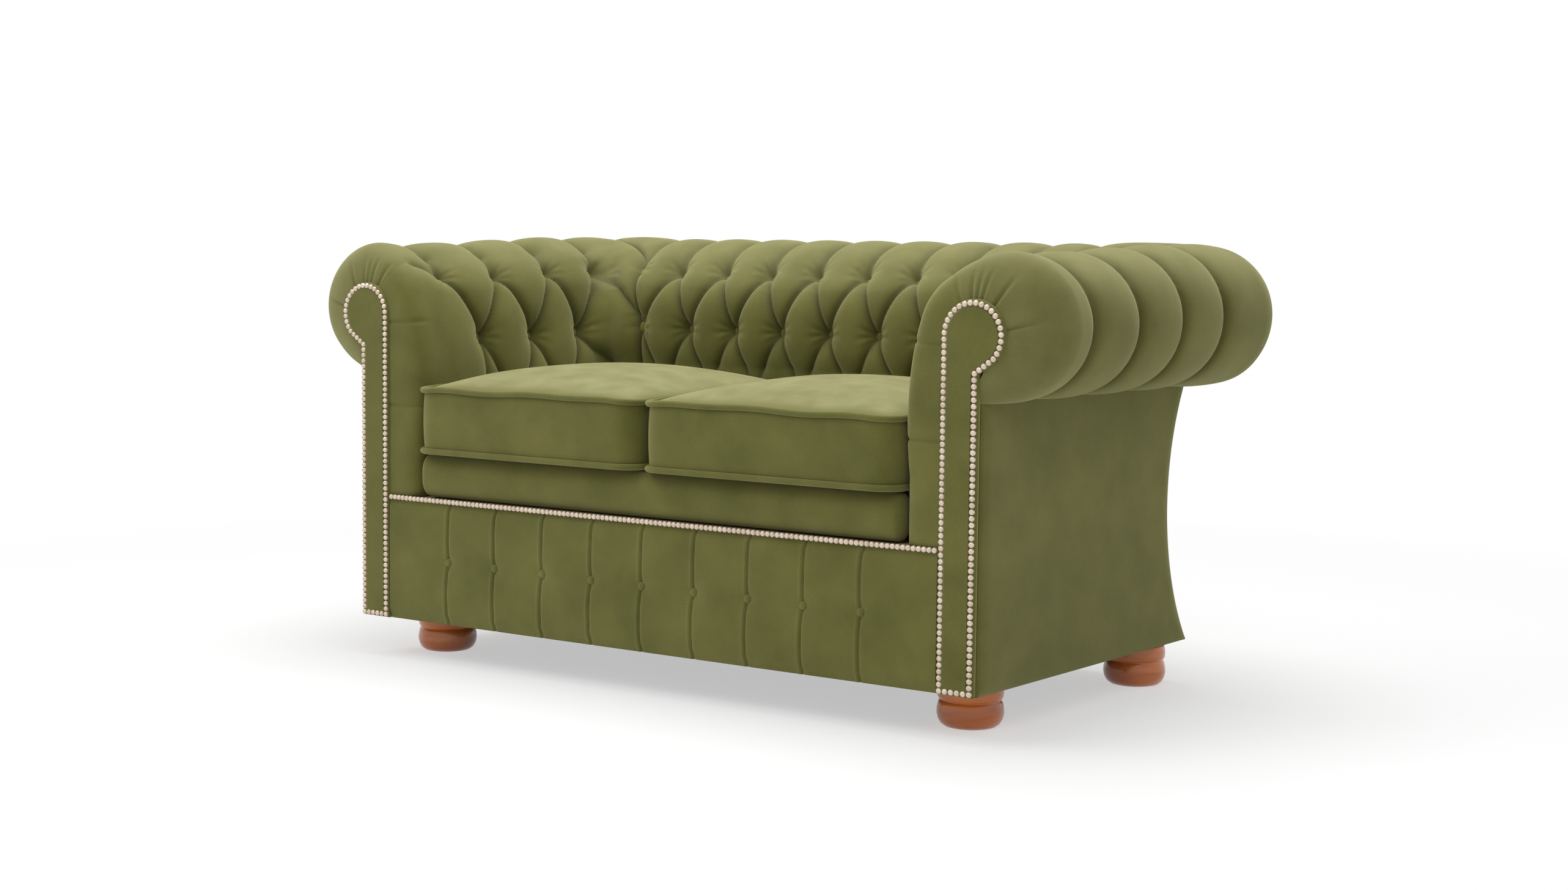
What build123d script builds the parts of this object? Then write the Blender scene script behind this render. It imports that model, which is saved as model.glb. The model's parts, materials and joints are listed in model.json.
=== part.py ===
from build123d import *
import os
from math import asin, cos, degrees, radians, sin

# Chesterfield sofa bed, millimetres: X along the seat, +Y to the back, +Z up, floor at Z 0.

# Overall size
WIDTH = 1590.0
DEPTH = 850.0
HEIGHT = 768.0
CUSHION_PROUD = 15.0
FACE_Y = -DEPTH / 2 + CUSHION_PROUD

# Rolled top of the arms and back
ROLL_R = 123.0
ROLL_X = WIDTH / 2 - ROLL_R
ROLL_Y = DEPTH / 2 - ROLL_R
ROLL_Z = HEIGHT - ROLL_R
ROLL_CORNER_R = 130.0
CORNER_EASE = 2.0
PLEAT_DIP = 18.0
NOSE_DIP = 45.0
NOSE_EASE = 22.0
NOSE_LENGTH = 62.0

# Arms
ARM_HALF = 660.0
PANEL_T = 20.0
ARM_TIMBER = 46.0
ARM_IN = ARM_HALF - PANEL_T - ARM_TIMBER
FRAME_TOP = ROLL_Z - ROLL_R + 1.0
FRAME_BOTTOM = 73.0
ARM_PAD_BOTTOM = 405.0
ARM_PAD_T = 77.0
SEAT_HALF = ARM_IN - ARM_PAD_T
ARM_PLEAT_FIRST = 124.0
ARM_PLEAT_PITCH = 149.0
ARM_PLEATS = 4
ARM_UPPER_BUTTON = (76.0, 55.0)
ARM_LOWER_BUTTON = (32.0, -60.0)

# Back
BACK_PAD_BOTTOM = 495.0
BACK_TIMBER_T = 50.0
BACK_TIMBER_DEPTH = 575.0
BACK_TIMBER_Y = FACE_Y + BACK_TIMBER_DEPTH
BACK_BELLY_DEPTH = 509.0
BACK_BELLY_Y = FACE_Y + BACK_BELLY_DEPTH
BACK_FOOT_DEPTH = 691.0
BACK_FOOT_Y = FACE_Y + BACK_FOOT_DEPTH
BACK_WAIST_DEPTH = 630.0
BACK_WAIST_Y = FACE_Y + BACK_WAIST_DEPTH
BACK_NECK_DEPTH = 683.0
BACK_NECK_Y = FACE_Y + BACK_NECK_DEPTH
BACK_WAIST_Z = 330.0
BACK_PANEL_T = 14.0
BACK_BUTTON_INSET = 83.0
BACK_PLEATS = 10
BACK_PLEAT_PITCH = (SEAT_HALF - BACK_BUTTON_INSET) * 2 / (BACK_PLEATS - 2)
BACK_UPPER_BUTTON = (84.0, 60.0)
BACK_LOWER_BUTTON = (32.0, -52.0)

# Tufting buttons
BUTTON_R = 11.0
BUTTON_T = 6.0
DIMPLE_R = 34.0
DIMPLE_DEPTH = 42.0

# Base
RAIL_T = 28.0
POST_DEPTH = 48.0
FACING_T = 13.0
FACING_PROUD = 5.0
FACING_LAP = 6.0
FACING_IN = ARM_IN - FACING_LAP
FACING_SETBACK = 5.0
FACING_OUT = ARM_HALF - FACING_SETBACK
FACING_SCROLL_R = 56.0
FACING_SCROLL_INSET = 15.0
FACING_SCROLL_X = ARM_HALF - FACING_SCROLL_INSET
FACING_SCROLL_Z = 626.0
FRONT_PANEL_T = 14.0
FRONT_PANEL_TOP = 297.0
FRONT_PLEAT_PITCH = 111.0
FRONT_PLEATS = 9
FRONT_BUTTON_Z = 185.0
FRONT_GROOVE = 4.0
FRONT_BUTTON_SINK = 5.0
SIDE_RAIL_LAP = 3.0
SIDE_RAIL_IN = SEAT_HALF + SIDE_RAIL_LAP
SIDE_RAIL_T = 25.0
RAIL_BOTTOM = 78.0
RAIL_TOP = 320.0
BOX_REAR_DEPTH = 606.0
BOX_REAR_Y = FACE_Y + BOX_REAR_DEPTH
CLOTH_T = 2.0

# Turned feet
FOOT_R = 54.0
FOOT_COLLAR_R = 50.0
FOOT_GROOVE_R = 45.0
FRONT_FOOT_INSET = 90.0
FRONT_FOOT_X = ARM_HALF - FRONT_FOOT_INSET
FRONT_FOOT_DEPTH = 130.0
FRONT_FOOT_Y = FACE_Y + FRONT_FOOT_DEPTH
REAR_FOOT_INSET = 60.0
REAR_FOOT_X = ARM_HALF - REAR_FOOT_INSET
REAR_FOOT_DEPTH = 628.0
REAR_FOOT_Y = FACE_Y + REAR_FOOT_DEPTH

# Folded bed, a stack of three sections inside the base
STACK_Z = 104.0
TUBE = 25.0
MATTRESS_T = 64.0
FOLD_GAP = 4.0
BED_CLEAR = 17.0
BED_HALF = SEAT_HALF - BED_CLEAR
HEAD_FRONT_DEPTH = 46.0
HEAD_FRONT = FACE_Y + HEAD_FRONT_DEPTH
HEAD_REAR_DEPTH = 590.0
HEAD_REAR = FACE_Y + HEAD_REAR_DEPTH
HINGE_DEPTH = 57.0
HINGE_Y = FACE_Y + HINGE_DEPTH
MIDDLE_SETBACK = 60.0
FOLD_DEPTH = 561.0
FOLD_Y = FACE_Y + FOLD_DEPTH
SECTION_REAR_DEPTH = 550.0
SECTION_REAR = FACE_Y + SECTION_REAR_DEPTH
SLAT_T = 6.0
SLAT_W = 40.0
SLAT_PITCH = 74.0
MATTRESS_INSET = 5.0
MATTRESS_CORNER_R = 25.0
MATTRESS_EDGE_R = 12.0
HINGE_Z = STACK_Z + TUBE + MATTRESS_T + FOLD_GAP / 2
MIDDLE_Z = STACK_Z + TUBE + 2 * MATTRESS_T + FOLD_GAP
FOLD_Z = MIDDLE_Z + TUBE + FOLD_GAP / 2
FOOT_Z = FOLD_Z + FOLD_GAP / 2
DECK_Z = FOOT_Z + TUBE + MATTRESS_T

# Lifting arms and pivots
PIN_R = 5.0
PIN_PLAY = 0.08
LIFT_LENGTH = 302.0
LIFT_RISE = 200.0
LIFT_HALF_ANGLE = degrees(asin(LIFT_RISE / 2 / LIFT_LENGTH))
LIFT_W = 20.0
LIFT_T = 6.0
LIFT_GAP = 6.0
LIFT_IN = BED_HALF + LIFT_GAP
FRONT_PIVOT_DEPTH = 190.0
FRONT_PIVOT_Z = 200.0
FRONT_PIVOT = (FACE_Y + FRONT_PIVOT_DEPTH, FRONT_PIVOT_Z)
REAR_PIVOT_DEPTH = 285.0
REAR_PIVOT_Z = 280.0
REAR_PIVOT = (FACE_Y + REAR_PIVOT_DEPTH, REAR_PIVOT_Z)
BRACKET_T = 4.0
PLATE_MARGIN = 30.0
PLATE_CORNER_R = 12.0
PIN_END = 1.0
EAR_T = 4.0
EAR_GAP = 1.0
EAR_W = 20.0

# Folding legs
LEG = 16.0
LEG_INSET = 52.0
LEG_X = BED_HALF - LEG_INSET
LEG_CLEAR = 0.5
MIDDLE_LEG_DEPTH = 500.0
MIDDLE_LEG_Y = FACE_Y + MIDDLE_LEG_DEPTH
FOOT_LEG_DEPTH = 447.0
FOOT_LEG_Y = FACE_Y + FOOT_LEG_DEPTH
FOOT_LEG_ANGLE = 70.0
MIDDLE_LEG_Z = MIDDLE_Z + TUBE - LEG / 2 - 1.0
FOOT_LEG_Z = FOOT_Z + LEG / 2 + 1.0

# Seat cushions and the padded front edge of the platform
SEAT_GAP = 0.3
CUSHION_CLEAR = 7.0
CUSHION_HALF = SEAT_HALF - CUSHION_CLEAR
CUSHION_SPLIT = 2.0
CUSHION_REAR_DEPTH = 512.0
CUSHION_REAR = FACE_Y + CUSHION_REAR_DEPTH
CUSHION_SIDE = 117.0
CUSHION_CROWN = 24.0
CROWN_SHOULDER = 70.0
CROWN_FLAT = 150.0
CUSHION_CORNER_R = 45.0
CUSHION_DRAW_IN = 7.0
LIP_CLEAR = 6.0
LIP_HALF = SEAT_HALF - LIP_CLEAR
LIP_BOTTOM = 299.3
LIP_TOP = 364.0
LIP_FRONT_R = 30.0
LIP_REAR_R = 10.0
BORDER_GAP = 1.5
BORDER_R = 12.0

SIDES = {"left": -1, "right": 1}


def block(x0, x1, y0, y1, z0, z1):
    """Box between two corners."""
    middle = ((x0 + x1) / 2, (y0 + y1) / 2, (z0 + z1) / 2)
    return Pos(*middle) * Box(abs(x1 - x0), y1 - y0, z1 - z0)


def on_side(part, side):
    """The part as built for the right, or its mirror image for the left."""
    return part if side > 0 else mirror(part, about=Plane.YZ)


def side_plate(sketch, x0, x1):
    """Extrude a Y-Z sketch from x0 to x1."""
    return extrude(Plane.YZ.offset(x0) * sketch, amount=x1 - x0)


def bar_shape(start, end, width):
    """Y-Z outline of a round-ended bar between two points."""
    run = Vector(end[0] - start[0], end[1] - start[1])
    turn = Vector(1, 0).get_signed_angle(run, Vector(0, 0, 1))
    middle = ((start[0] + end[0]) / 2, (start[1] + end[1]) / 2)
    return Pos(*middle) * Rot(0, 0, turn) * SlotCenterToCenter(run.length, width)


def cross_pin(y, z, x0, x1, radius):
    """Cylinder along X."""
    return Pos((x0 + x1) / 2, y, z) * Rot(0, 90, 0) * Cylinder(radius, abs(x1 - x0))


def roll_section(place, spec, dip):
    """Closed outline of a rolled pad: roll, inner face and the frame it sits on, drawn in by dip."""
    radius = ROLL_R - dip
    centre = spec["centre"]

    def on_roll(angle):
        return place(centre + radius * cos(radians(angle)), ROLL_Z + radius * sin(radians(angle)))

    def drawn(point, share_s, share_z):
        return place(point[0] + dip * share_s, point[1] - dip * share_z)

    outer = place(spec["base_out"], FRAME_TOP)
    shoulder = drawn(spec["shoulder"], 0.85, 0.5)
    low = drawn(spec["low"], 0.5, 0)
    edges = [
        ThreePointArc(outer, on_roll(-45), on_roll(0)),
        ThreePointArc(on_roll(0), on_roll(45), on_roll(90)),
        ThreePointArc(on_roll(90), drawn(spec["brow"], 0.6, 0.8), shoulder),
        ThreePointArc(shoulder, drawn(spec["belly"], 1, 0), low),
        Line(low, place(spec["base_in"], spec["low"][1])),
        Line(place(spec["base_in"], spec["low"][1]), place(spec["base_in"], FRAME_TOP)),
        Line(place(spec["base_in"], FRAME_TOP), outer),
    ]
    return Face(Wire(edges))


def seat_for_button(point, normal, depth):
    """Conical dimple whose floor is at point, and the button that sits on that floor."""
    plane = Plane(origin=point, z_dir=normal)
    dimple = plane * Pos(0, 0, depth / 2) * Cone(BUTTON_R + 2, DIMPLE_R, depth)
    button = plane * Pos(0, 0, BUTTON_T / 2) * Cylinder(BUTTON_R, BUTTON_T)
    rim = button.edges().sort_by(Axis(point, normal))[-1:]
    return dimple, fillet(rim, BUTTON_T / 2)


def mitre_plane():
    """Vertical plane where the right arm pad meets the back pad, facing the arm."""
    run = Vector(WIDTH / 2 - SEAT_HALF, DEPTH / 2 - BACK_BELLY_Y)
    return Plane(origin=(SEAT_HALF, BACK_BELLY_Y, 0), z_dir=(run.Y, -run.X, 0))


def corner_waste():
    """Right-hand rear corner of the plan that lies outside the rounded corner of the rolled top."""
    x = WIDTH / 2 + CORNER_EASE
    y = DEPTH / 2 + CORNER_EASE
    square = Pos(x, y) * Rectangle(2 * ROLL_CORNER_R, 2 * ROLL_CORNER_R)
    keep = Pos(x - ROLL_CORNER_R, y - ROLL_CORNER_R) * Circle(ROLL_CORNER_R)
    return extrude(square - keep, amount=HEIGHT * 2)


ARM_SPEC = {
    "centre": ROLL_X,
    "base_out": ARM_HALF,
    "base_in": ARM_IN,
    "brow": (ROLL_X - 80.0, HEIGHT - 26.0),
    "shoulder": (SEAT_HALF + 23.0, ROLL_Z + 23.0),
    "belly": (SEAT_HALF, ROLL_Z - 85.0),
    "low": (SEAT_HALF + 6.0, ARM_PAD_BOTTOM),
}
BACK_SPEC = {
    "centre": ROLL_Y,
    "base_out": BACK_NECK_Y,
    "base_in": BACK_TIMBER_Y,
    "brow": (ROLL_Y - 102.0, HEIGHT - 20.0),
    "shoulder": (BACK_BELLY_Y + 26.0, ROLL_Z + 35.0),
    "belly": (BACK_BELLY_Y, ROLL_Z - 60.0),
    "low": (BACK_BELLY_Y + 21.0, BACK_PAD_BOTTOM),
}


def arm_pad():
    """Right arm pad with its lobes, dimples and buttons."""
    def section(y, dip):
        return roll_section(lambda s, z: Vector(s, y, z), ARM_SPEC, dip)

    pleats = [FACE_Y + ARM_PLEAT_FIRST + i * ARM_PLEAT_PITCH for i in range(ARM_PLEATS)]
    front = FACE_Y + FACING_T - FACING_PROUD
    nose = [(front, NOSE_DIP), (front + NOSE_EASE, NOSE_DIP / 4), (front + NOSE_LENGTH, 0)]
    pad = loft([section(y, dip) for y, dip in nose + [(pleats[0], PLEAT_DIP)]])
    ends = pleats + [DEPTH / 2 + ROLL_CORNER_R / 4]
    for start, end in zip(ends, ends[1:]):
        steps = [(start, PLEAT_DIP), ((start + end) / 2, 0), (end, PLEAT_DIP)]
        pad += loft([section(y, dip) for y, dip in steps])
    inset, rise = ARM_UPPER_BUTTON
    seats = [((SEAT_HALF + inset, y, ROLL_Z + rise), (-0.75, 0, 0.66)) for y in pleats]
    lows = [(a + b) / 2 for a, b in zip(pleats, pleats[1:])]
    inset, rise = ARM_LOWER_BUTTON
    seats += [((SEAT_HALF + inset, y, ROLL_Z + rise), (-1, 0, 0)) for y in lows]
    return pad, seats


def back_pad():
    """Back pad across the full width with its lobes, dimples and buttons."""
    def section(x, dip):
        return roll_section(lambda s, z: Vector(x, s, z), BACK_SPEC, dip)

    middle = (BACK_PLEATS - 1) / 2
    pleats = [(i - middle) * BACK_PLEAT_PITCH for i in range(BACK_PLEATS)]
    ends = [-WIDTH / 2] + pleats + [WIDTH / 2]
    pad = None
    for start, end in zip(ends, ends[1:]):
        steps = [(start, PLEAT_DIP), ((start + end) / 2, 0), (end, PLEAT_DIP)]
        piece = loft([section(x, dip) for x, dip in steps])
        pad = piece if pad is None else pad + piece
    inset, rise = BACK_UPPER_BUTTON
    seats = [((x, BACK_BELLY_Y + inset, ROLL_Z + rise), (0, -0.75, 0.66)) for x in pleats[1:-1]]
    lows = [(a + b) / 2 for a, b in zip(pleats, pleats[1:])]
    inset, rise = BACK_LOWER_BUTTON
    seats += [((x, BACK_BELLY_Y + inset, ROLL_Z + rise), (0, -1, 0)) for x in lows]
    return pad, seats


def tufted(pad, seats):
    """Sink each button's dimple into the pad and return the pad with its buttons."""
    buttons = []
    for point, normal in seats:
        dimple, button = seat_for_button(point, normal, DIMPLE_DEPTH)
        pad -= dimple
        buttons.append(button)
    return pad, buttons


def arm_facing():
    """Keyhole-shaped board that covers the front of the right arm."""
    column = Pos((FACING_IN + FACING_OUT) / 2, (FRAME_BOTTOM + FACING_SCROLL_Z) / 2)
    outline = column * Rectangle(FACING_OUT - FACING_IN, FACING_SCROLL_Z - FRAME_BOTTOM)
    outline += Pos(FACING_SCROLL_X, FACING_SCROLL_Z) * Circle(FACING_SCROLL_R)
    board = extrude(Plane.XZ.offset(-(FACE_Y + FACING_T - FACING_PROUD)) * outline, amount=FACING_T)
    return board


def back_curve(inset):
    """Waisted outline of the outside back, moved forward by inset."""
    points = ((BACK_FOOT_Y, FRAME_BOTTOM), (BACK_WAIST_Y, BACK_WAIST_Z), (BACK_NECK_Y, FRAME_TOP))
    return ThreePointArc(*[(y - inset, z) for y, z in points])


def outer_arm_panel():
    """Flat outside arm, with the back's waisted outline at its rear."""
    front = FACE_Y + FACING_T - FACING_PROUD
    rear = back_curve(0)
    outline = Wire([
        rear,
        Line(rear @ 1, (front, FRAME_TOP)),
        Line((front, FRAME_TOP), (front, FRAME_BOTTOM)),
        Line((front, FRAME_BOTTOM), rear @ 0),
    ])
    return side_plate(Face(outline), ARM_HALF - PANEL_T, ARM_HALF)


def outer_back_panel():
    """Waisted outside back between the two outside arms."""
    outer = back_curve(0)
    inner = back_curve(BACK_PANEL_T)
    outline = Wire([outer, Line(outer @ 1, inner @ 1), inner, Line(inner @ 0, outer @ 0)])
    half = ARM_HALF - PANEL_T
    return side_plate(Face(outline), -half, half)


def arm_frame():
    """Timbers of the right arm."""
    front = FACE_Y + FACING_T - FACING_PROUD
    x0 = ARM_IN
    x1 = ARM_HALF - PANEL_T
    post_rear = front + POST_DEPTH
    rear_front = BOX_REAR_Y - POST_DEPTH
    rail = ARM_TIMBER
    return {
        "arm_front_post": block(x0, x1, front, post_rear, FRAME_BOTTOM, FRAME_TOP),
        "arm_rear_post": block(x0, x1, rear_front, BOX_REAR_Y, FRAME_BOTTOM + rail, FRAME_TOP),
        "arm_top_rail": block(x0, x1, post_rear, rear_front, FRAME_TOP - rail, FRAME_TOP),
        "arm_bottom_rail": block(x0, x1, post_rear, BOX_REAR_Y, FRAME_BOTTOM, FRAME_BOTTOM + rail),
    }


def front_panel():
    """Pleated front border with a dimple and a button on every pleat."""
    half = FACING_IN - SEAT_GAP
    panel = block(-half, half, FACE_Y, FACE_Y + FRONT_PANEL_T, FRAME_BOTTOM, FRONT_PANEL_TOP)
    middle = (FRONT_PLEATS - 1) / 2
    buttons = []
    for i in range(FRONT_PLEATS):
        x = (i - middle) * FRONT_PLEAT_PITCH
        groove = Rot(0, 0, 45) * Box(FRONT_GROOVE, FRONT_GROOVE, HEIGHT)
        panel -= Pos(x, FACE_Y, 0) * groove
        seat = (x, FACE_Y + FRONT_BUTTON_SINK, FRONT_BUTTON_Z)
        dimple, button = seat_for_button(seat, (0, -1, 0), 2 * FRONT_BUTTON_SINK)
        panel -= dimple
        buttons.append(button)
    return panel, buttons


def turned_foot():
    """Bun foot with a groove under its collar, standing on the floor."""
    top = FRAME_BOTTOM
    groove = top * 0.66
    profile = Wire([
        Line((0, 0), (FOOT_R * 0.7, 0)),
        ThreePointArc((FOOT_R * 0.7, 0), (FOOT_R, groove * 0.5), (FOOT_GROOVE_R, groove)),
        ThreePointArc((FOOT_GROOVE_R, groove), (FOOT_R - 1.0, (groove + top) / 2), (FOOT_COLLAR_R, top)),
        Line((FOOT_COLLAR_R, top), (0, top)),
        Line((0, top), (0, 0)),
    ])
    return revolve(Plane.XZ * Face(profile), axis=Axis.Z)


def section_frame(front, rear, z):
    """Side tubes and cross tubes of one bed section."""
    sides = [block(s * (BED_HALF - TUBE), s * BED_HALF, front, rear, z, z + TUBE) for s in (-1, 1)]
    inner = BED_HALF - TUBE
    crosses = [block(-inner, inner, y, y + TUBE, z, z + TUBE) for y in (front, rear - TUBE)]
    return sides, crosses


def slats(front, rear, z):
    """Sprung slats between the side tubes, evenly spread between the cross tubes."""
    inner = BED_HALF - TUBE
    room = rear - front - 2 * TUBE
    count = int(room // SLAT_PITCH)
    gap = room / (count + 1)
    middles = [front + TUBE + gap * (i + 1) for i in range(count)]
    return [block(-inner, inner, y - SLAT_W / 2, y + SLAT_W / 2, z, z + SLAT_T) for y in middles]


def mattress(front, rear, z):
    """Foam pad of one section, rounded all round."""
    half = BED_HALF - MATTRESS_INSET
    pad = block(-half, half, front + MATTRESS_INSET, rear - MATTRESS_INSET, z, z + MATTRESS_T)
    pad = fillet(pad.edges().filter_by(Axis.Z), MATTRESS_CORNER_R)
    return fillet(pad.edges().group_by(Axis.Z)[-1], MATTRESS_EDGE_R)


def lift_tip(pivot):
    """Upper pin of a lift arm at rest, with the arm sloping down to the rear."""
    drop = LIFT_LENGTH * sin(radians(LIFT_HALF_ANGLE))
    return (pivot[0] + LIFT_LENGTH * cos(radians(LIFT_HALF_ANGLE)), pivot[1] - drop)


def head_brackets():
    """Right-hand plates on the head section: two lift pivots and the ear of the middle hinge."""
    x0 = BED_HALF
    x1 = BED_HALF + BRACKET_T
    tube_z = STACK_Z + TUBE / 2
    plates = []
    for pivot in (FRONT_PIVOT, REAR_PIVOT):
        tip = lift_tip(pivot)
        plate = side_plate(bar_shape((tip[0], tube_z), tip, LIFT_W), x0, x1)
        plates.append(plate + cross_pin(*tip, x1, LIFT_IN + LIFT_T + PIN_END, PIN_R))
    ear = side_plate(bar_shape((HINGE_Y, tube_z), (HINGE_Y, HINGE_Z), EAR_W), x0, x1)
    plates.append(ear + cross_pin(HINGE_Y, HINGE_Z, x1, x1 + EAR_GAP + EAR_T + PIN_END, PIN_R))
    return plates


def outer_ear(axis, hold):
    """Right-hand hinge ear that turns on a pin at axis and is spaced off its tube at hold."""
    x0 = BED_HALF + BRACKET_T + EAR_GAP
    ear = side_plate(bar_shape(axis, hold, EAR_W), x0, x0 + EAR_T)
    ear += cross_pin(*hold, BED_HALF, x0, EAR_W / 2 - 1.5)
    return ear - cross_pin(*axis, x0 - 1.0, x0 + EAR_T + 1.0, PIN_R + PIN_PLAY)


def inner_ear(axis, hold):
    """Right-hand hinge ear on the tube's side, with the pin at axis."""
    x1 = BED_HALF + BRACKET_T
    ear = side_plate(bar_shape(axis, hold, EAR_W - 2), BED_HALF, x1)
    return ear + cross_pin(*axis, x1, x1 + EAR_GAP + EAR_T + PIN_END, PIN_R)


def lift_arm(pivot):
    """Right-hand flat bar from the fixed pivot to the head section's pin."""
    tip = lift_tip(pivot)
    x1 = LIFT_IN + LIFT_T
    bar = side_plate(bar_shape(pivot, tip, LIFT_W), LIFT_IN, x1)
    for y, z in (pivot, tip):
        bar -= cross_pin(y, z, LIFT_IN - 1.0, x1 + 1.0, PIN_R + PIN_PLAY)
    return bar


def mechanism_plate():
    """Right-hand fixed plate on the side rail, with the two pins that the lift arms turn on."""
    x0 = SIDE_RAIL_IN - BRACKET_T
    front, low = [c - PLATE_MARGIN for c in FRONT_PIVOT]
    rear, high = [c + PLATE_MARGIN for c in REAR_PIVOT]
    plate = block(x0, SIDE_RAIL_IN, front, rear, low, high)
    plate = fillet(plate.edges().filter_by(Axis.X), PLATE_CORNER_R)
    for y, z in (FRONT_PIVOT, REAR_PIVOT):
        plate += cross_pin(y, z, LIFT_IN - 0.5, x0, PIN_R)
    return plate


def leg_set(y, z, reach):
    """Two legs folded forward from their rod, and the bar across their feet."""
    legs = []
    for side in (-1, 1):
        x = side * LEG_X
        leg = side_plate(bar_shape((y - reach, z), (y, z), LEG), x - LEG / 2, x + LEG / 2)
        legs.append(leg - cross_pin(y, z, x - LEG, x + LEG, PIN_R + PIN_PLAY))
    inner = LEG_X - LEG / 2
    return legs + [cross_pin(y - reach, z, -inner, inner, LEG / 2)]


def leg_rod(y, z):
    """Rod between the side tubes that a leg set turns on."""
    inner = BED_HALF - TUBE
    return cross_pin(y, z, -inner, inner, PIN_R)


def cushion():
    """Right seat cushion: boxed sides drawn in between the two seams, and a crowned top."""
    x0 = CUSHION_SPLIT / 2
    x1 = CUSHION_HALF
    y0 = -DEPTH / 2
    y1 = CUSHION_REAR
    base = DECK_Z + SEAT_GAP
    middle = ((x0 + x1) / 2, (y0 + y1) / 2)

    def ring(z, inset):
        size = (x1 - x0 - 2 * inset, y1 - y0 - 2 * inset)
        return Pos(*middle, z) * RectangleRounded(*size, CUSHION_CORNER_R)

    seam = base + CUSHION_SIDE
    sides = loft([ring(base, 0), ring((base + seam) / 2, CUSHION_DRAW_IN), ring(seam, 0)])
    steps = ((0, 0), (0.7, CROWN_SHOULDER), (1, CROWN_FLAT))
    crown = loft([ring(seam + CUSHION_CROWN * share, inset) for share, inset in steps])
    return sides + crown


def front_lip():
    """Padded front edge of the platform, rounded at its top."""
    pad = block(-LIP_HALF, LIP_HALF, FACE_Y, HEAD_FRONT, LIP_BOTTOM, LIP_TOP)
    top_front = pad.edges().filter_by(Axis.X).sort_by(Axis.Y)[:2].sort_by(Axis.Z)[-1:]
    pad = fillet(top_front, LIP_FRONT_R)
    return fillet(pad.edges().filter_by(Axis.X).sort_by(Axis.Z)[-1:], LIP_REAR_R)


def arm_front_border():
    """Right-hand padded band between the facing and the seat, below the arm pad."""
    front = FACE_Y + FACING_T - FACING_PROUD
    x0 = LIP_HALF + BORDER_GAP
    band = block(x0, ARM_IN, front, HEAD_FRONT - 6.0, FRONT_PANEL_TOP, ARM_PAD_BOTTOM)
    inner = band.edges().filter_by(Axis.Z).sort_by(lambda e: e.center().X + e.center().Y)[:1]
    return fillet(inner, BORDER_R)


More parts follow.
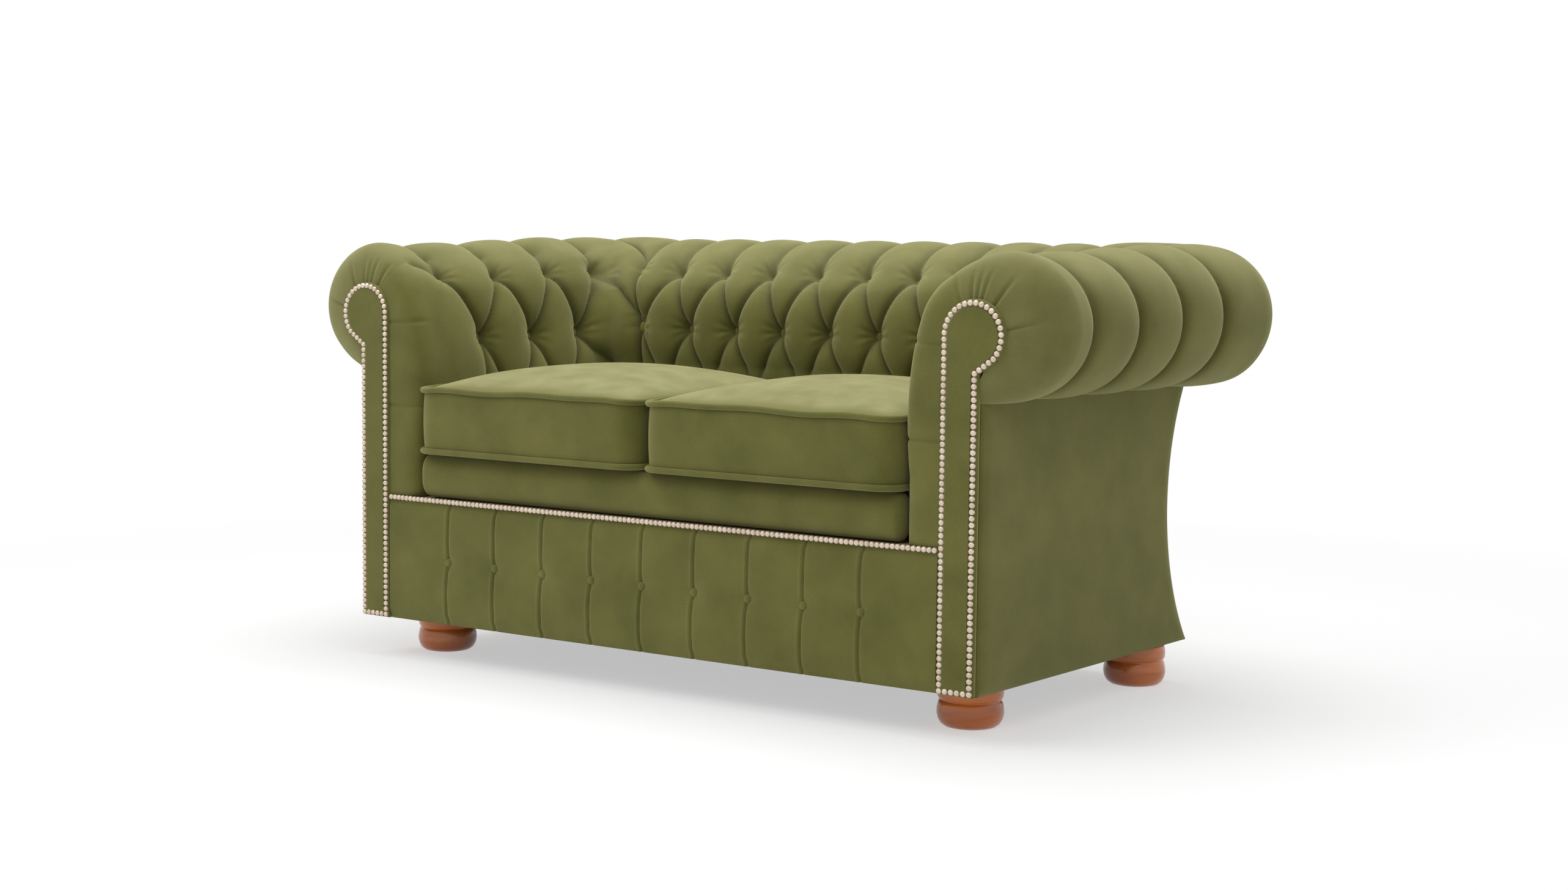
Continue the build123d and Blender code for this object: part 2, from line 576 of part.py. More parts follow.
def build():
    """Every node of the sofa bed as name to list of solids."""
    nodes = {}
    mitre = mitre_plane()
    waste = corner_waste()

    pad, seats = arm_pad()
    back_rail = block(-ARM_IN, ARM_IN, BACK_TIMBER_Y, BACK_TIMBER_Y + BACK_TIMBER_T,
                      FRAME_TOP - BACK_TIMBER_T, FRAME_TOP)
    pad = split(pad, bisect_by=mitre, keep=Keep.TOP) - waste - back_rail
    pad, buttons = tufted(pad, seats)
    arm_buttons = []
    for name, side in SIDES.items():
        nodes[name + "_arm_pad"] = [on_side(pad, side)]
        arm_buttons += [on_side(b, side) for b in buttons]
        nodes[name + "_arm_facing"] = [on_side(arm_facing(), side)]
        nodes[name + "_arm_front_border"] = [on_side(arm_front_border(), side)]
        nodes[name + "_outer_arm_panel"] = [on_side(outer_arm_panel(), side)]
        for piece, solid in arm_frame().items():
            nodes[name + "_" + piece] = [on_side(solid, side)]
        rail = block(SIDE_RAIL_IN, SIDE_RAIL_IN + SIDE_RAIL_T, FACE_Y + FRONT_PANEL_T + RAIL_T,
                     BOX_REAR_Y, RAIL_BOTTOM, RAIL_TOP)
        nodes[name + "_side_rail"] = [on_side(rail, side)]
        nodes[name + "_mechanism_plate"] = [on_side(mechanism_plate(), side)]
        nodes[name + "_front_lift_arm"] = [on_side(lift_arm(FRONT_PIVOT), side)]
        nodes[name + "_rear_lift_arm"] = [on_side(lift_arm(REAR_PIVOT), side)]
        nodes[name + "_seat_cushion"] = [on_side(cushion(), side)]
        nodes["front_" + name + "_foot"] = [Pos(side * FRONT_FOOT_X, FRONT_FOOT_Y, 0) * turned_foot()]
        nodes["rear_" + name + "_foot"] = [Pos(side * REAR_FOOT_X, REAR_FOOT_Y, 0) * turned_foot()]
    nodes["arm_tuft_buttons"] = arm_buttons

    pad, seats = back_pad()
    for _ in SIDES:
        pad = mirror(split(pad, bisect_by=mitre, keep=Keep.BOTTOM) - waste, about=Plane.YZ)
    pad, buttons = tufted(pad, seats)
    nodes["back_pad"] = [pad]
    nodes["back_tuft_buttons"] = buttons
    nodes["outer_back_panel"] = [outer_back_panel()]
    nodes["back_top_rail"] = [back_rail]

    panel, buttons = front_panel()
    nodes["front_panel"] = [panel]
    nodes["front_panel_buttons"] = buttons
    nodes["front_rail"] = [block(-ARM_IN, ARM_IN, FACE_Y + FRONT_PANEL_T, FACE_Y + FRONT_PANEL_T + RAIL_T,
                                 RAIL_BOTTOM, FRONT_PANEL_TOP)]
    rail_half = ARM_HALF - PANEL_T
    nodes["rear_rail"] = [block(-rail_half, rail_half, BOX_REAR_Y, BOX_REAR_Y + RAIL_T - 2.0,
                                FRAME_BOTTOM, FRAME_BOTTOM + 2 * ARM_TIMBER)]
    cloth_half = SIDE_RAIL_IN + SIDE_RAIL_T
    nodes["base_cloth"] = [block(-cloth_half, cloth_half, FACE_Y + FRONT_PANEL_T, BOX_REAR_Y,
                                 RAIL_BOTTOM - CLOTH_T, RAIL_BOTTOM)]

    sections = {
        "head": (HEAD_FRONT, HEAD_REAR, STACK_Z, STACK_Z + TUBE - SLAT_T, STACK_Z + TUBE),
        "middle": (HINGE_Y + MIDDLE_SETBACK, SECTION_REAR, MIDDLE_Z, MIDDLE_Z, MIDDLE_Z - MATTRESS_T),
        "foot": (HEAD_FRONT, SECTION_REAR, FOOT_Z, FOOT_Z + TUBE - SLAT_T, FOOT_Z + TUBE),
    }
    for name, (front, rear, z, slat_z, pad_z) in sections.items():
        sides, crosses = section_frame(front, rear, z)
        nodes[name + "_side_tubes"] = sides
        nodes[name + "_cross_tubes"] = crosses
        nodes[name + "_slats"] = slats(front, rear, slat_z)
        nodes[name + "_mattress"] = [mattress(front, rear, pad_z)]

    middle_hold = (HINGE_Y + MIDDLE_SETBACK + TUBE / 2, MIDDLE_Z + TUBE / 2)
    rear_hold_y = SECTION_REAR - TUBE
    middle_ears = [outer_ear((HINGE_Y, HINGE_Z), middle_hold),
                   inner_ear((FOLD_Y, FOLD_Z), (rear_hold_y, MIDDLE_Z + TUBE / 2))]
    foot_ear = outer_ear((FOLD_Y, FOLD_Z), (rear_hold_y, FOOT_Z + TUBE / 2))
    nodes["head_brackets"] = [on_side(p, s) for s in (-1, 1) for p in head_brackets()]
    nodes["middle_hinge_ears"] = [on_side(p, s) for s in (-1, 1) for p in middle_ears]
    nodes["foot_hinge_ears"] = [on_side(foot_ear, s) for s in (-1, 1)]

    drop = 2 * HINGE_Z - MIDDLE_LEG_Z + LIFT_RISE - LEG / 2 - LEG_CLEAR
    nodes["middle_leg_rod"] = [leg_rod(MIDDLE_LEG_Y, MIDDLE_LEG_Z)]
    nodes["middle_legs"] = leg_set(MIDDLE_LEG_Y, MIDDLE_LEG_Z, drop)
    foot_drop = 2 * HINGE_Z - FOLD_Z + (FOOT_LEG_Z - FOLD_Z) + LIFT_RISE - LEG / 2 - LEG_CLEAR
    nodes["foot_leg_rod"] = [leg_rod(FOOT_LEG_Y, FOOT_LEG_Z)]
    nodes["foot_legs"] = leg_set(FOOT_LEG_Y, FOOT_LEG_Z, foot_drop / sin(radians(FOOT_LEG_ANGLE)))
    nodes["front_lip"] = [front_lip()]
    return nodes


def write(nodes):
    os.makedirs("parts", exist_ok=True)
    for name, solids in nodes.items():
        shape = solids[0] if len(solids) == 1 else Compound(children=[Part(s.wrapped) for s in solids])
        export_step(shape, f"parts/{name}.step")
    print("lift angle", round(2 * LIFT_HALF_ANGLE, 4), "nodes", len(nodes))


write(build())
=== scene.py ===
import json
from math import cos, pi, radians, sin

import bmesh
import bpy
import numpy as np
from mathutils import Matrix, Vector

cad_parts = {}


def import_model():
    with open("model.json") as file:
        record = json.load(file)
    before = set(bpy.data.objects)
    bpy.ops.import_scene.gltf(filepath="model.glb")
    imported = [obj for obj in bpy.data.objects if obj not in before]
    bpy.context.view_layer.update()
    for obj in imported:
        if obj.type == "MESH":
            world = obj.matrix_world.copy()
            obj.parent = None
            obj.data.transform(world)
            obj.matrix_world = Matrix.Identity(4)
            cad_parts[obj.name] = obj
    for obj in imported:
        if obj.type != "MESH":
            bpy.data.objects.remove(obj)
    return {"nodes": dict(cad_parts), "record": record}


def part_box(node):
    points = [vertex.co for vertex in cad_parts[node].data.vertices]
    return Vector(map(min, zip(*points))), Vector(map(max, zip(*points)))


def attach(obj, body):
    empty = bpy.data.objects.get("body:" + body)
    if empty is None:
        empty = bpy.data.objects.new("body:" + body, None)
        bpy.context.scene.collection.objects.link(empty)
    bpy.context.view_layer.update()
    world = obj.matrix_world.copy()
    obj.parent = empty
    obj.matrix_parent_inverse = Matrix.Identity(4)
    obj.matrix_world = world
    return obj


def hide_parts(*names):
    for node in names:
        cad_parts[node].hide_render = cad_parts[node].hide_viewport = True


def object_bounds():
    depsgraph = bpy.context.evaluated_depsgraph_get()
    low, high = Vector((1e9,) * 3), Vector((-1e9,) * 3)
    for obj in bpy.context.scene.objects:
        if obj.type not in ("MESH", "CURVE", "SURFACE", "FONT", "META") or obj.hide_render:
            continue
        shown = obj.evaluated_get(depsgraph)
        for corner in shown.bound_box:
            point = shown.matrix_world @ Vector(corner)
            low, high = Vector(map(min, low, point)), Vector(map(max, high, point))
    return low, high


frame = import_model()
cad_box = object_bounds()

# Sizes in millimetres: X along the seat, Y back from the face of the front panel, Z up from the floor
MM = 0.001
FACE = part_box("front_panel")[0].y / MM
WIDTH = (cad_box[1].x - cad_box[0].x) / MM
HEIGHT = cad_box[1].z / MM
REAR = cad_box[1].y / MM - FACE
ROLL_R = 123.0
ROLL_X = WIDTH / 2 - ROLL_R
ROLL_Y = REAR - ROLL_R
ROLL_Z = HEIGHT - ROLL_R
ROLL_CORNER_R = 130.0
SEAT_HALF = 517.0
BACK_BELLY = 509.0
ARM_HALF = 660.0
ARM_IN = 594.0
FRAME_TOP = 523.0
FRAME_BOTTOM = 73.0
BACK_NECK = 683.0
BACK_WAIST = 630.0
BACK_FOOT = 712.0
BACK_WAIST_Z = 330.0
NOSE = 66.0
ARM_DROP = 13.0
FACING_IN = 588.0
FACING_OUT = 655.0
SCROLL_X = 645.0
SCROLL_Z = 626.0
SCROLL_R = 56.0
FRONT_TOP = 297.0
LIP_TOP = 377.5
LIP_HALF = 515.5
ARM_COLUMNS = (124.0, 273.0, 422.0, 556.0)
ARM_ROLL_COLUMNS = (124.0, 273.0, 422.0, 571.0)
ARM_LOWS = (198.5, 340.0, 474.0)
BACK_PITCH = 108.5
NAIL_PITCH = 10.0
NAIL_R = 4.4
NAIL_RISE = 3.4
BUTTON_R = 11.0
BUTTON_RISE = 7.0
PANEL_BUTTON_R = 7.5
PANEL_BUTTON_RISE = 5.0
PANEL_BUTTON_Z = 185.0
PANEL_PITCH = 111.0
PIPING_R = 5.5
PIPING_PROUD = 3.0
FORWARD = (0, -1, 0)
SEED = 7

# Pleats: their depths, and the section of one, a wide valley with a sharp crease in it
ROLL_PLEAT = 15.0
DIAMOND_PLEAT = 14.0
LOW_PLEAT = 12.0
CORNER_PLEAT = 16.0
LOW_PLEAT_FALL = 125.0
LOW_PLEAT_LEAN = 52.0
DEEPEST = 52.0
VALLEY_SHARE = 0.85
VALLEY_WIDTH = 25.0
CREASE_SHARE = 0.65
CREASE_WIDTH = 5.5
SHADE_WIDTH = 7.0

# Layers of the meshes that the velvet reads (painted shade in the creases, painted highlight on the upper
# faces), how strong the painted highlight is on rolls, nose and cushion tops, and a mix node's colour
# sockets
CREASE_SHADE_LAYER = "crease"
HIGHLIGHT_LAYER = "top_highlight"
ROLL_HIGHLIGHT = 0.42
NOSE_HIGHLIGHT = 0.26
CUSHION_HIGHLIGHT = 0.95
MIX_A = 6
MIX_B = 7
MIX_RESULT = 2


def metres(points):
    """Points in millimetres from the front panel's face, as metres in the frame."""
    out = np.array(points, float).reshape(-1, 3) * MM
    out[:, 1] += FACE * MM
    return out


def node_corners(node):
    """Lowest and highest corner of a node in millimetres from the front panel's face."""
    return [np.array(corner) / MM - (0, FACE, 0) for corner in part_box(node)]


def mesh_piece(name, points, faces, material):
    """A smooth mesh object from points in millimetres."""
    mesh = bpy.data.meshes.new(name)
    mesh.from_pydata(metres(points).tolist(), [], [list(map(int, f)) for f in faces])
    mesh.validate()
    mesh.polygons.foreach_set("use_smooth", [True] * len(mesh.polygons))
    piece = bpy.data.objects.new(name, mesh)
    bpy.context.scene.collection.objects.link(piece)
    mesh.materials.append(material)
    return piece


def shade_flat(piece, first):
    """Shade the faces of a piece flat from an index on."""
    for k in range(first, len(piece.data.polygons)):
        piece.data.polygons[k].use_smooth = False


def keep_layer(piece, name, values):
    """Keep a value from 0 to 1 for each point on the mesh, for its material to read."""
    layer = piece.data.attributes.new(name, "FLOAT", "POINT")
    layer.data.foreach_set("value", np.clip(values, 0, 1).ravel().astype(np.float32))


def grid_faces(rows, columns, flip=False, wrap=False):
    """Quads of a grid whose points run row by row."""
    last = columns if wrap else columns - 1
    index = np.arange(rows * columns).reshape(rows, columns)
    following = np.roll(index, -1, axis=1)
    quads = np.stack([index[:-1, :last], index[1:, :last], following[1:, :last], following[:-1, :last]], -1)
    quads = quads.reshape(-1, 4)
    return quads[:, ::-1] if flip else quads


def subdivide(piece):
    """Smooth a piece by one level of subdivision."""
    added = piece.modifiers.new("subsurf", "SUBSURF")
    added.levels = 1
    added.render_levels = 1


def smoothstep(low, high, value):
    """0 below low, 1 above high, and smooth between."""
    t = np.clip((np.asarray(value, float) - low) / (high - low), 0, 1)
    return t * t * (3 - 2 * t)


def run_along(path):
    """Distance along a path from its start to each of its points."""
    steps = np.linalg.norm(np.diff(path, axis=0), axis=1)
    return np.concatenate([[0], np.cumsum(steps)])


def mirrored(points):
    """Points or directions mirrored to the left-hand side."""
    return points * np.array([-1, 1, 1])


# Materials

def set_inputs(node, values):
    """Set the inputs of a node by their names."""
    for name, value in values.items():
        node.inputs[name].default_value = value


def new_material(name):
    """A material with its node tree, shader and output."""
    material = bpy.data.materials.new(name)
    material.use_nodes = True
    nodes = material.node_tree.nodes
    return material, nodes, material.node_tree.links, nodes["Principled BSDF"]


def noise_colour(nodes, links, scale, colours, detail, stretch=(1, 1, 1)):
    """Colour ramp driven by noise at a scale in waves per metre."""
    where = nodes.new("ShaderNodeTexCoord")
    mapping = nodes.new("ShaderNodeMapping")
    set_inputs(mapping, {"Scale": stretch})
    noise = nodes.new("ShaderNodeTexNoise")
    set_inputs(noise, {"Scale": scale, "Detail": detail})
    ramp = nodes.new("ShaderNodeValToRGB")
    links.new(where.outputs["Object"], mapping.inputs["Vector"])
    links.new(mapping.outputs["Vector"], noise.inputs["Vector"])
    links.new(noise.outputs["Fac"], ramp.inputs["Fac"])
    ramp.color_ramp.elements[0].position = 0.3
    ramp.color_ramp.elements[1].position = 0.7
    for element, colour in zip(ramp.color_ramp.elements, colours):
        element.color = (*colour, 1)
    return noise, ramp


def add_bump(nodes, links, shader, height, strength, distance):
    """Bump from a height output."""
    bump = nodes.new("ShaderNodeBump")
    set_inputs(bump, {"Strength": strength, "Distance": distance})
    links.new(height, bump.inputs["Height"])
    links.new(bump.outputs["Normal"], shader.inputs["Normal"])


def laid_over(nodes, links, colour, blend, layer=None):
    """Mix node that lays a second colour over a first one, by a layer of the mesh if one is named."""
    mix = nodes.new("ShaderNodeMix")
    mix.data_type = "RGBA"
    mix.blend_type = blend
    links.new(colour, mix.inputs[MIX_A])
    if layer:
        read = nodes.new("ShaderNodeAttribute")
        read.attribute_name = layer
        links.new(read.outputs["Fac"], mix.inputs["Factor"])
    return mix


def velvet():
    """Olive velvet: cloudy tone, fine grain, painted shade in the creases, a painted highlight on the upper
    faces, and a sheen.
    """
    material, nodes, links, shader = new_material("velvet")
    _, tone = noise_colour(nodes, links, 13.0, ((0.096, 0.098, 0.0195), (0.142, 0.137, 0.032)), 8.0)
    grain, fleck = noise_colour(nodes, links, 420.0, ((0.80, 0.80, 0.80), (1.0, 1.0, 1.0)), 2.0)
    # Paler copy of the velvet colour, for the painted highlight
    _, lit_tone = noise_colour(nodes, links, 21.0, ((0.165, 0.158, 0.062), (0.255, 0.240, 0.112)), 7.0)
    grained = laid_over(nodes, links, tone.outputs["Color"], "MULTIPLY")
    set_inputs(grained, {"Factor": 0.7})
    links.new(fleck.outputs["Color"], grained.inputs[MIX_B])
    # Painted shade: the crease layer darkens the colour towards this grey along the creases
    crease_shaded = laid_over(nodes, links, grained.outputs[MIX_RESULT], "MULTIPLY", CREASE_SHADE_LAYER)
    crease_shaded.inputs[MIX_B].default_value = (0.30, 0.30, 0.26, 1)
    # Painted highlight: the paler colour laid over by the highlight layer
    highlighted = laid_over(nodes, links, crease_shaded.outputs[MIX_RESULT], "MIX", HIGHLIGHT_LAYER)
    links.new(lit_tone.outputs["Color"], highlighted.inputs[MIX_B])
    links.new(highlighted.outputs[MIX_RESULT], shader.inputs["Base Color"])
    set_inputs(shader, {"Roughness": 0.85, "Specular IOR Level": 0.15, "Sheen Weight": 0.45,
                        "Sheen Roughness": 0.58, "Sheen Tint": (0.78, 0.76, 0.40, 1)})
    add_bump(nodes, links, shader, grain.outputs["Fac"], 0.25, 0.0006)
    return material


def metal(name, dark, light, scale, detail, metallic, roughness, bump, bump_height):
    """Coated metal with its fine texture."""
    material, nodes, links, shader = new_material(name)
    noise, tone = noise_colour(nodes, links, scale, (dark, light), detail)
    links.new(tone.outputs["Color"], shader.inputs["Base Color"])
    set_inputs(shader, {"Metallic": metallic, "Roughness": roughness})
    add_bump(nodes, links, shader, noise.outputs["Fac"], bump, bump_height)
    return material


def wood(name, dark, light, roughness, coat, stretch, scale):
    """Grained wood, lacquered where coat is above zero."""
    material, nodes, links, shader = new_material(name)
    noise, tone = noise_colour(nodes, links, scale, (dark, light), 5.0, stretch)
    links.new(tone.outputs["Color"], shader.inputs["Base Color"])
    set_inputs(shader, {"Roughness": roughness, "Coat Weight": coat, "Coat Roughness": 0.12})
    add_bump(nodes, links, shader, noise.outputs["Fac"], 0.15, 0.0004)
    return material


def woven(name, dark, light, threads):
    """Plain woven cloth with its threads both ways."""
    material, nodes, links, shader = new_material(name)
    _, tone = noise_colour(nodes, links, 30.0, (dark, light), 3.0)
    where = nodes.new("ShaderNodeTexCoord")
    add = nodes.new("ShaderNodeMath")
    for direction, socket in zip(("X", "Y"), add.inputs):
        wave = nodes.new("ShaderNodeTexWave")
        wave.bands_direction = direction
        set_inputs(wave, {"Scale": threads, "Distortion": 1.0})
        links.new(where.outputs["Object"], wave.inputs["Vector"])
        links.new(wave.outputs["Fac"], socket)
    links.new(tone.outputs["Color"], shader.inputs["Base Color"])
    set_inputs(shader, {"Roughness": 0.9})
    add_bump(nodes, links, shader, add.outputs["Value"], 0.3, 0.0005)
    return material


VELVET = velvet()
NAILS = metal("nail_metal", (0.62, 0.49, 0.38), (0.78, 0.67, 0.55), 90.0, 2.0, 0.25, 0.32, 0.1, 0.0002)
LACQUER = wood("lacquered_wood", (0.46, 0.10, 0.011), (0.70, 0.205, 0.032), 0.33, 0.5, (1, 1, 7), 9.0)
TIMBER = wood("frame_timber", (0.42, 0.28, 0.15), (0.60, 0.44, 0.27), 0.7, 0.0, (1, 12, 12), 6.0)
SLATS = wood("slat_wood", (0.50, 0.34, 0.19), (0.68, 0.50, 0.31), 0.55, 0.1, (1, 16, 16), 6.0)
STEEL = metal("painted_steel", (0.09, 0.09, 0.10), (0.14, 0.14, 0.15), 260.0, 3.0, 0.4, 0.45, 0.2, 0.0003)
TICKING = woven("ticking", (0.66, 0.64, 0.59), (0.78, 0.76, 0.71), 900.0)
DUST_CLOTH = woven("dust_cloth", (0.02, 0.02, 0.02), (0.04, 0.04, 0.04), 500.0)
SLOT_MATERIALS = {"velvet": VELVET, "timber": TIMBER, "turned_wood": LACQUER, "slat_wood": SLATS,
                  "steel": STEEL, "ticking": TICKING, "dust_cloth": DUST_CLOTH}


# Rolled pads of the arms and the back

HEM_STEPS = 6
LOW_STEPS = 14
HEM_ROWS = HEM_STEPS + LOW_STEPS
BELLY_STEPS = 70
BROW_STEPS = 44
ROLL_STEPS = 48
JOIN_ROWS = 10
ARM_HEM = 322.0
ARM_FRONT_HEM = 298.5
ARM_LOW = 405.0
ARM_FACE = SEAT_HALF + 2
BACK_HEM = 494.0
CORNER_IN = 442.0
CORNER_SPREAD = 36.0
SCROLL_LEAVE = -42.0
SCROLL_NECK = 57.0
FACING_TUCK = 16.0
NOSE_SQUARE = 0.62

# Gathers of the nose as distance from the top of the roll, depth and width
ROLL_GATHERS = ((-62, 3.6, 5), (-22, 4.2, 5), (-2, 3.8, 4.5), (18, 3.4, 4.5), (72, 4.2, 6), (190, 3.8, 6))
FACE_GATHERS = ((-209, 3.0, 3.2), (-367, 3.0, 3.2))


def arc_through(a, b, c, count):
    """Points on the circle from a through b to c, without the last one."""
    (ax, az), (bx, bz), (cx, cz) = a, b, c
    d = 2 * (ax * (bz - cz) + bx * (cz - az) + cx * (az - bz))
    sa, sb, sc = (p[0] ** 2 + p[1] ** 2 for p in (a, b, c))
    ox = (sa * (bz - cz) + sb * (cz - az) + sc * (az - bz)) / d
    oz = (sa * (cx - bx) + sb * (ax - cx) + sc * (bx - ax)) / d
    start, through, end = (np.arctan2(p[1] - oz, p[0] - ox) for p in (a, b, c))
    turn = (end - start) % (2 * pi)
    if (through - start) % (2 * pi) > turn:
        turn -= 2 * pi
    angles = start + turn * np.arange(count) / count
    radius = np.hypot(ax - ox, az - oz)
    return np.stack([ox + radius * np.cos(angles), oz + radius * np.sin(angles)], 1)


def straight(a, b, count):
    """Points from a to b, without the last one."""
    share = (np.arange(count) / count)[:, None]
    return np.array(a) * (1 - share) + np.array(b) * share


def roll_profile(centre, hem, low, belly, shoulder, brow, neck):
    """Cross-section of a pad: hem, inner face, shoulder, roll and the neck it is tucked under."""
    def on_roll(angle):
        return (centre + ROLL_R * cos(radians(angle)), ROLL_Z + ROLL_R * sin(radians(angle)))

    return np.concatenate([
        straight(hem[0], hem[1], HEM_STEPS),
        straight(hem[1], low, LOW_STEPS),
        arc_through(low, belly, shoulder, BELLY_STEPS),
        arc_through(shoulder, brow, on_roll(90), BROW_STEPS),
        arc_through(on_roll(90), on_roll(45), on_roll(0), ROLL_STEPS),
        arc_through(on_roll(0), on_roll(-45), neck, ROLL_STEPS),
        [neck],
    ])


arm_profile = roll_profile(
    centre=ROLL_X,
    hem=((ARM_IN, ARM_HEM), (ARM_FACE, ARM_HEM)),
    low=(ARM_FACE, ARM_LOW),
    belly=(SEAT_HALF, ROLL_Z - 85),
    shoulder=(SEAT_HALF + 23, ROLL_Z + 23),
    brow=(ROLL_X - 80, HEIGHT - 26),
    neck=(ARM_HALF, FRAME_TOP))
back_profile = roll_profile(
    centre=ROLL_Y,
    hem=((575.0, BACK_HEM), (BACK_BELLY + 22, BACK_HEM)),
    low=(BACK_BELLY + 21, 497.0),
    belly=(BACK_BELLY, ROLL_Z - 60),
    shoulder=(BACK_BELLY + 26, ROLL_Z + 35),
    brow=(ROLL_Y - 102, HEIGHT - 20),
    neck=(BACK_NECK, FRAME_TOP))


def run_length(profile):
    """Distance along a profile from the start of its inner face."""
    run = run_along(profile)
    return run - run[HEM_ROWS]


def run_at(profile, run, point):
    """Distance along the profile of its nearest point."""
    return run[HEM_ROWS + np.argmin(np.hypot(*(profile[HEM_ROWS:] - point).T))]


# Runs of both profiles, and where the upper and lower button rows are on them
arm_run = run_length(arm_profile)
back_run = run_length(back_profile)
ARM_UP = run_at(arm_profile, arm_run, (562, 722))
ARM_DOWN = run_at(arm_profile, arm_run, (SEAT_HALF, 588))
BACK_UP = run_at(back_profile, back_run, (558, 732))
BACK_DOWN = run_at(back_profile, back_run, (BACK_BELLY, 594))


def fold(away):
    """Section of a pleat of unit depth at a distance from its line."""
    return VALLEY_SHARE * np.exp(-away / VALLEY_WIDTH) + CREASE_SHARE * np.exp(-away / CREASE_WIDTH)


def crease_depth(u, v, creases):
    """How far pleats, each (u0, v0, u1, v1, depth), draw the cover in, and how near the closest one is."""
    total = np.zeros_like(u)
    closest = np.full_like(u, 1e3)
    for u0, v0, u1, v1, depth in creases:
        du, dv = u1 - u0, v1 - v0
        t = np.clip(((u - u0) * du + (v - v0) * dv) / (du * du + dv * dv), 0, 1)
        away = np.hypot(u - u0 - t * du, v - v0 - t * dv)
        total += depth * fold(away)
        closest = np.minimum(closest, away * DIAMOND_PLEAT / depth)
    return total, closest


def button_pull(u, v, buttons, rng):
    """Pits at the buttons with fine gathers round them."""
    pit_depth, pit_width = 9, 12
    gathers, gather_depth, gather_away, gather_width = 9, 1.3, 20, 14
    total = np.zeros_like(u)
    for bu, bv in buttons:
        away = np.hypot(u - bu, v - bv)
        angle = np.arctan2(v - bv, u - bu)
        turn = rng.uniform(0, 2 * pi)
        total += pit_depth * np.exp(-away / pit_width)
        ring = np.exp(-((away - gather_away) / gather_width) ** 2)
        total += gather_depth * ring * np.cos(gathers * angle + turn)
    return total


def inward_normals(points, turn):
    """Unit normals of a grid of points, pointing into the pad; turn is 1 or -1 by the way the grid runs."""
    along = np.gradient(points, axis=0)
    across = np.gradient(points, axis=1)
    normal = turn * np.cross(along, across)
    return normal / np.maximum(np.linalg.norm(normal, axis=2, keepdims=True), 1e-9)


def upward_highlight(inward):
    """Painted highlight on the upper side of a roll, from 0 to 1, by how far its surface faces up."""
    return ROLL_HIGHLIGHT * smoothstep(0.25, 0.95, -inward[..., 2])


def round_corner(points):
    """Round the outer rear corners in plan."""
    side = np.sign(points[..., 0])
    dx = np.abs(points[..., 0]) - (WIDTH / 2 - ROLL_CORNER_R)
    dy = points[..., 1] - (REAR - ROLL_CORNER_R)
    both = (dx > 0) & (dy > 0)
    scale = np.where(both, np.maximum(dx, dy) / np.maximum(np.hypot(dx, dy), 1e-9), 1)
    out = points.copy()
    out[..., 0] = np.where(both, side * (WIDTH / 2 - ROLL_CORNER_R + dx * scale), points[..., 0])
    out[..., 1] = np.where(both, REAR - ROLL_CORNER_R + dy * scale, points[..., 1])
    return out


def corner_end():
    """X where the back ends at each profile point: a pleat on the inner face, a mitre on the roll."""
    inner = CORNER_IN + CORNER_SPREAD * smoothstep(590, 715, back_profile[:, 1])
    mitre = smoothstep(BACK_UP, BACK_UP + 170, back_run)
    return inner * (1 - mitre) + arm_profile[:, 0] * mitre


CORNER_X = corner_end()


def facing_outline(inset, count=400):
    """Keyhole outline of an arm facing, from its inner foot round the scroll to its outer foot."""
    radius = SCROLL_R - inset
    angles = np.linspace(pi, radians(SCROLL_LEAVE), count // 3)
    scroll = np.stack([SCROLL_X + radius * np.cos(angles), SCROLL_Z + radius * np.sin(angles)], 1)
    left = SCROLL_X - radius
    bottom = FRAME_BOTTOM + inset
    neck = (FACING_OUT - inset, SCROLL_Z - SCROLL_NECK)
    return np.concatenate([
        straight((left, bottom), (left, SCROLL_Z), count // 3),
        scroll,
        straight(scroll[-1], neck, count // 20),
        straight(neck, (FACING_OUT - inset, bottom), count // 3),
        [(FACING_OUT - inset, bottom)],
    ])


def nose_targets():
    """Where each profile point of the arm meets the facing, evened out along the profile."""
    outline = facing_outline(FACING_TUCK)
    gaps = np.hypot(*(arm_profile[:, None, :] - outline[None, :, :]).transpose(2, 0, 1))
    nearest = outline[np.argmin(gaps, axis=1)]
    reach = 10
    width = 2 * reach + 1
    window = np.ones(width) / width
    padded = np.pad(nearest, ((reach, reach), (0, 0)), mode="edge")
    return np.stack([np.convolve(padded[:, k], window, mode="valid") for k in (0, 1)], 1)


def nose_gathers(j_run, share):
    """Gathers that run from the facing out over the nose."""
    total = np.zeros_like(share)
    top = run_at(arm_profile, arm_run, (ROLL_X - 20, HEIGHT))
    for gathers, start, full in ((ROLL_GATHERS, 0.62, 0.97), (FACE_GATHERS, 0.3, 0.85)):
        for offset, depth, width in gathers:
            across = j_run - top - offset
            total += depth * np.exp(-(across / width) ** 2) * smoothstep(start, full, share)
    return total


def hem_height(z, hem):
    """Height of a profile point below ARM_LOW where the hem is drawn down to a height."""
    return z - (ARM_HEM - hem) * (z - ARM_LOW) / (ARM_HEM - ARM_LOW)


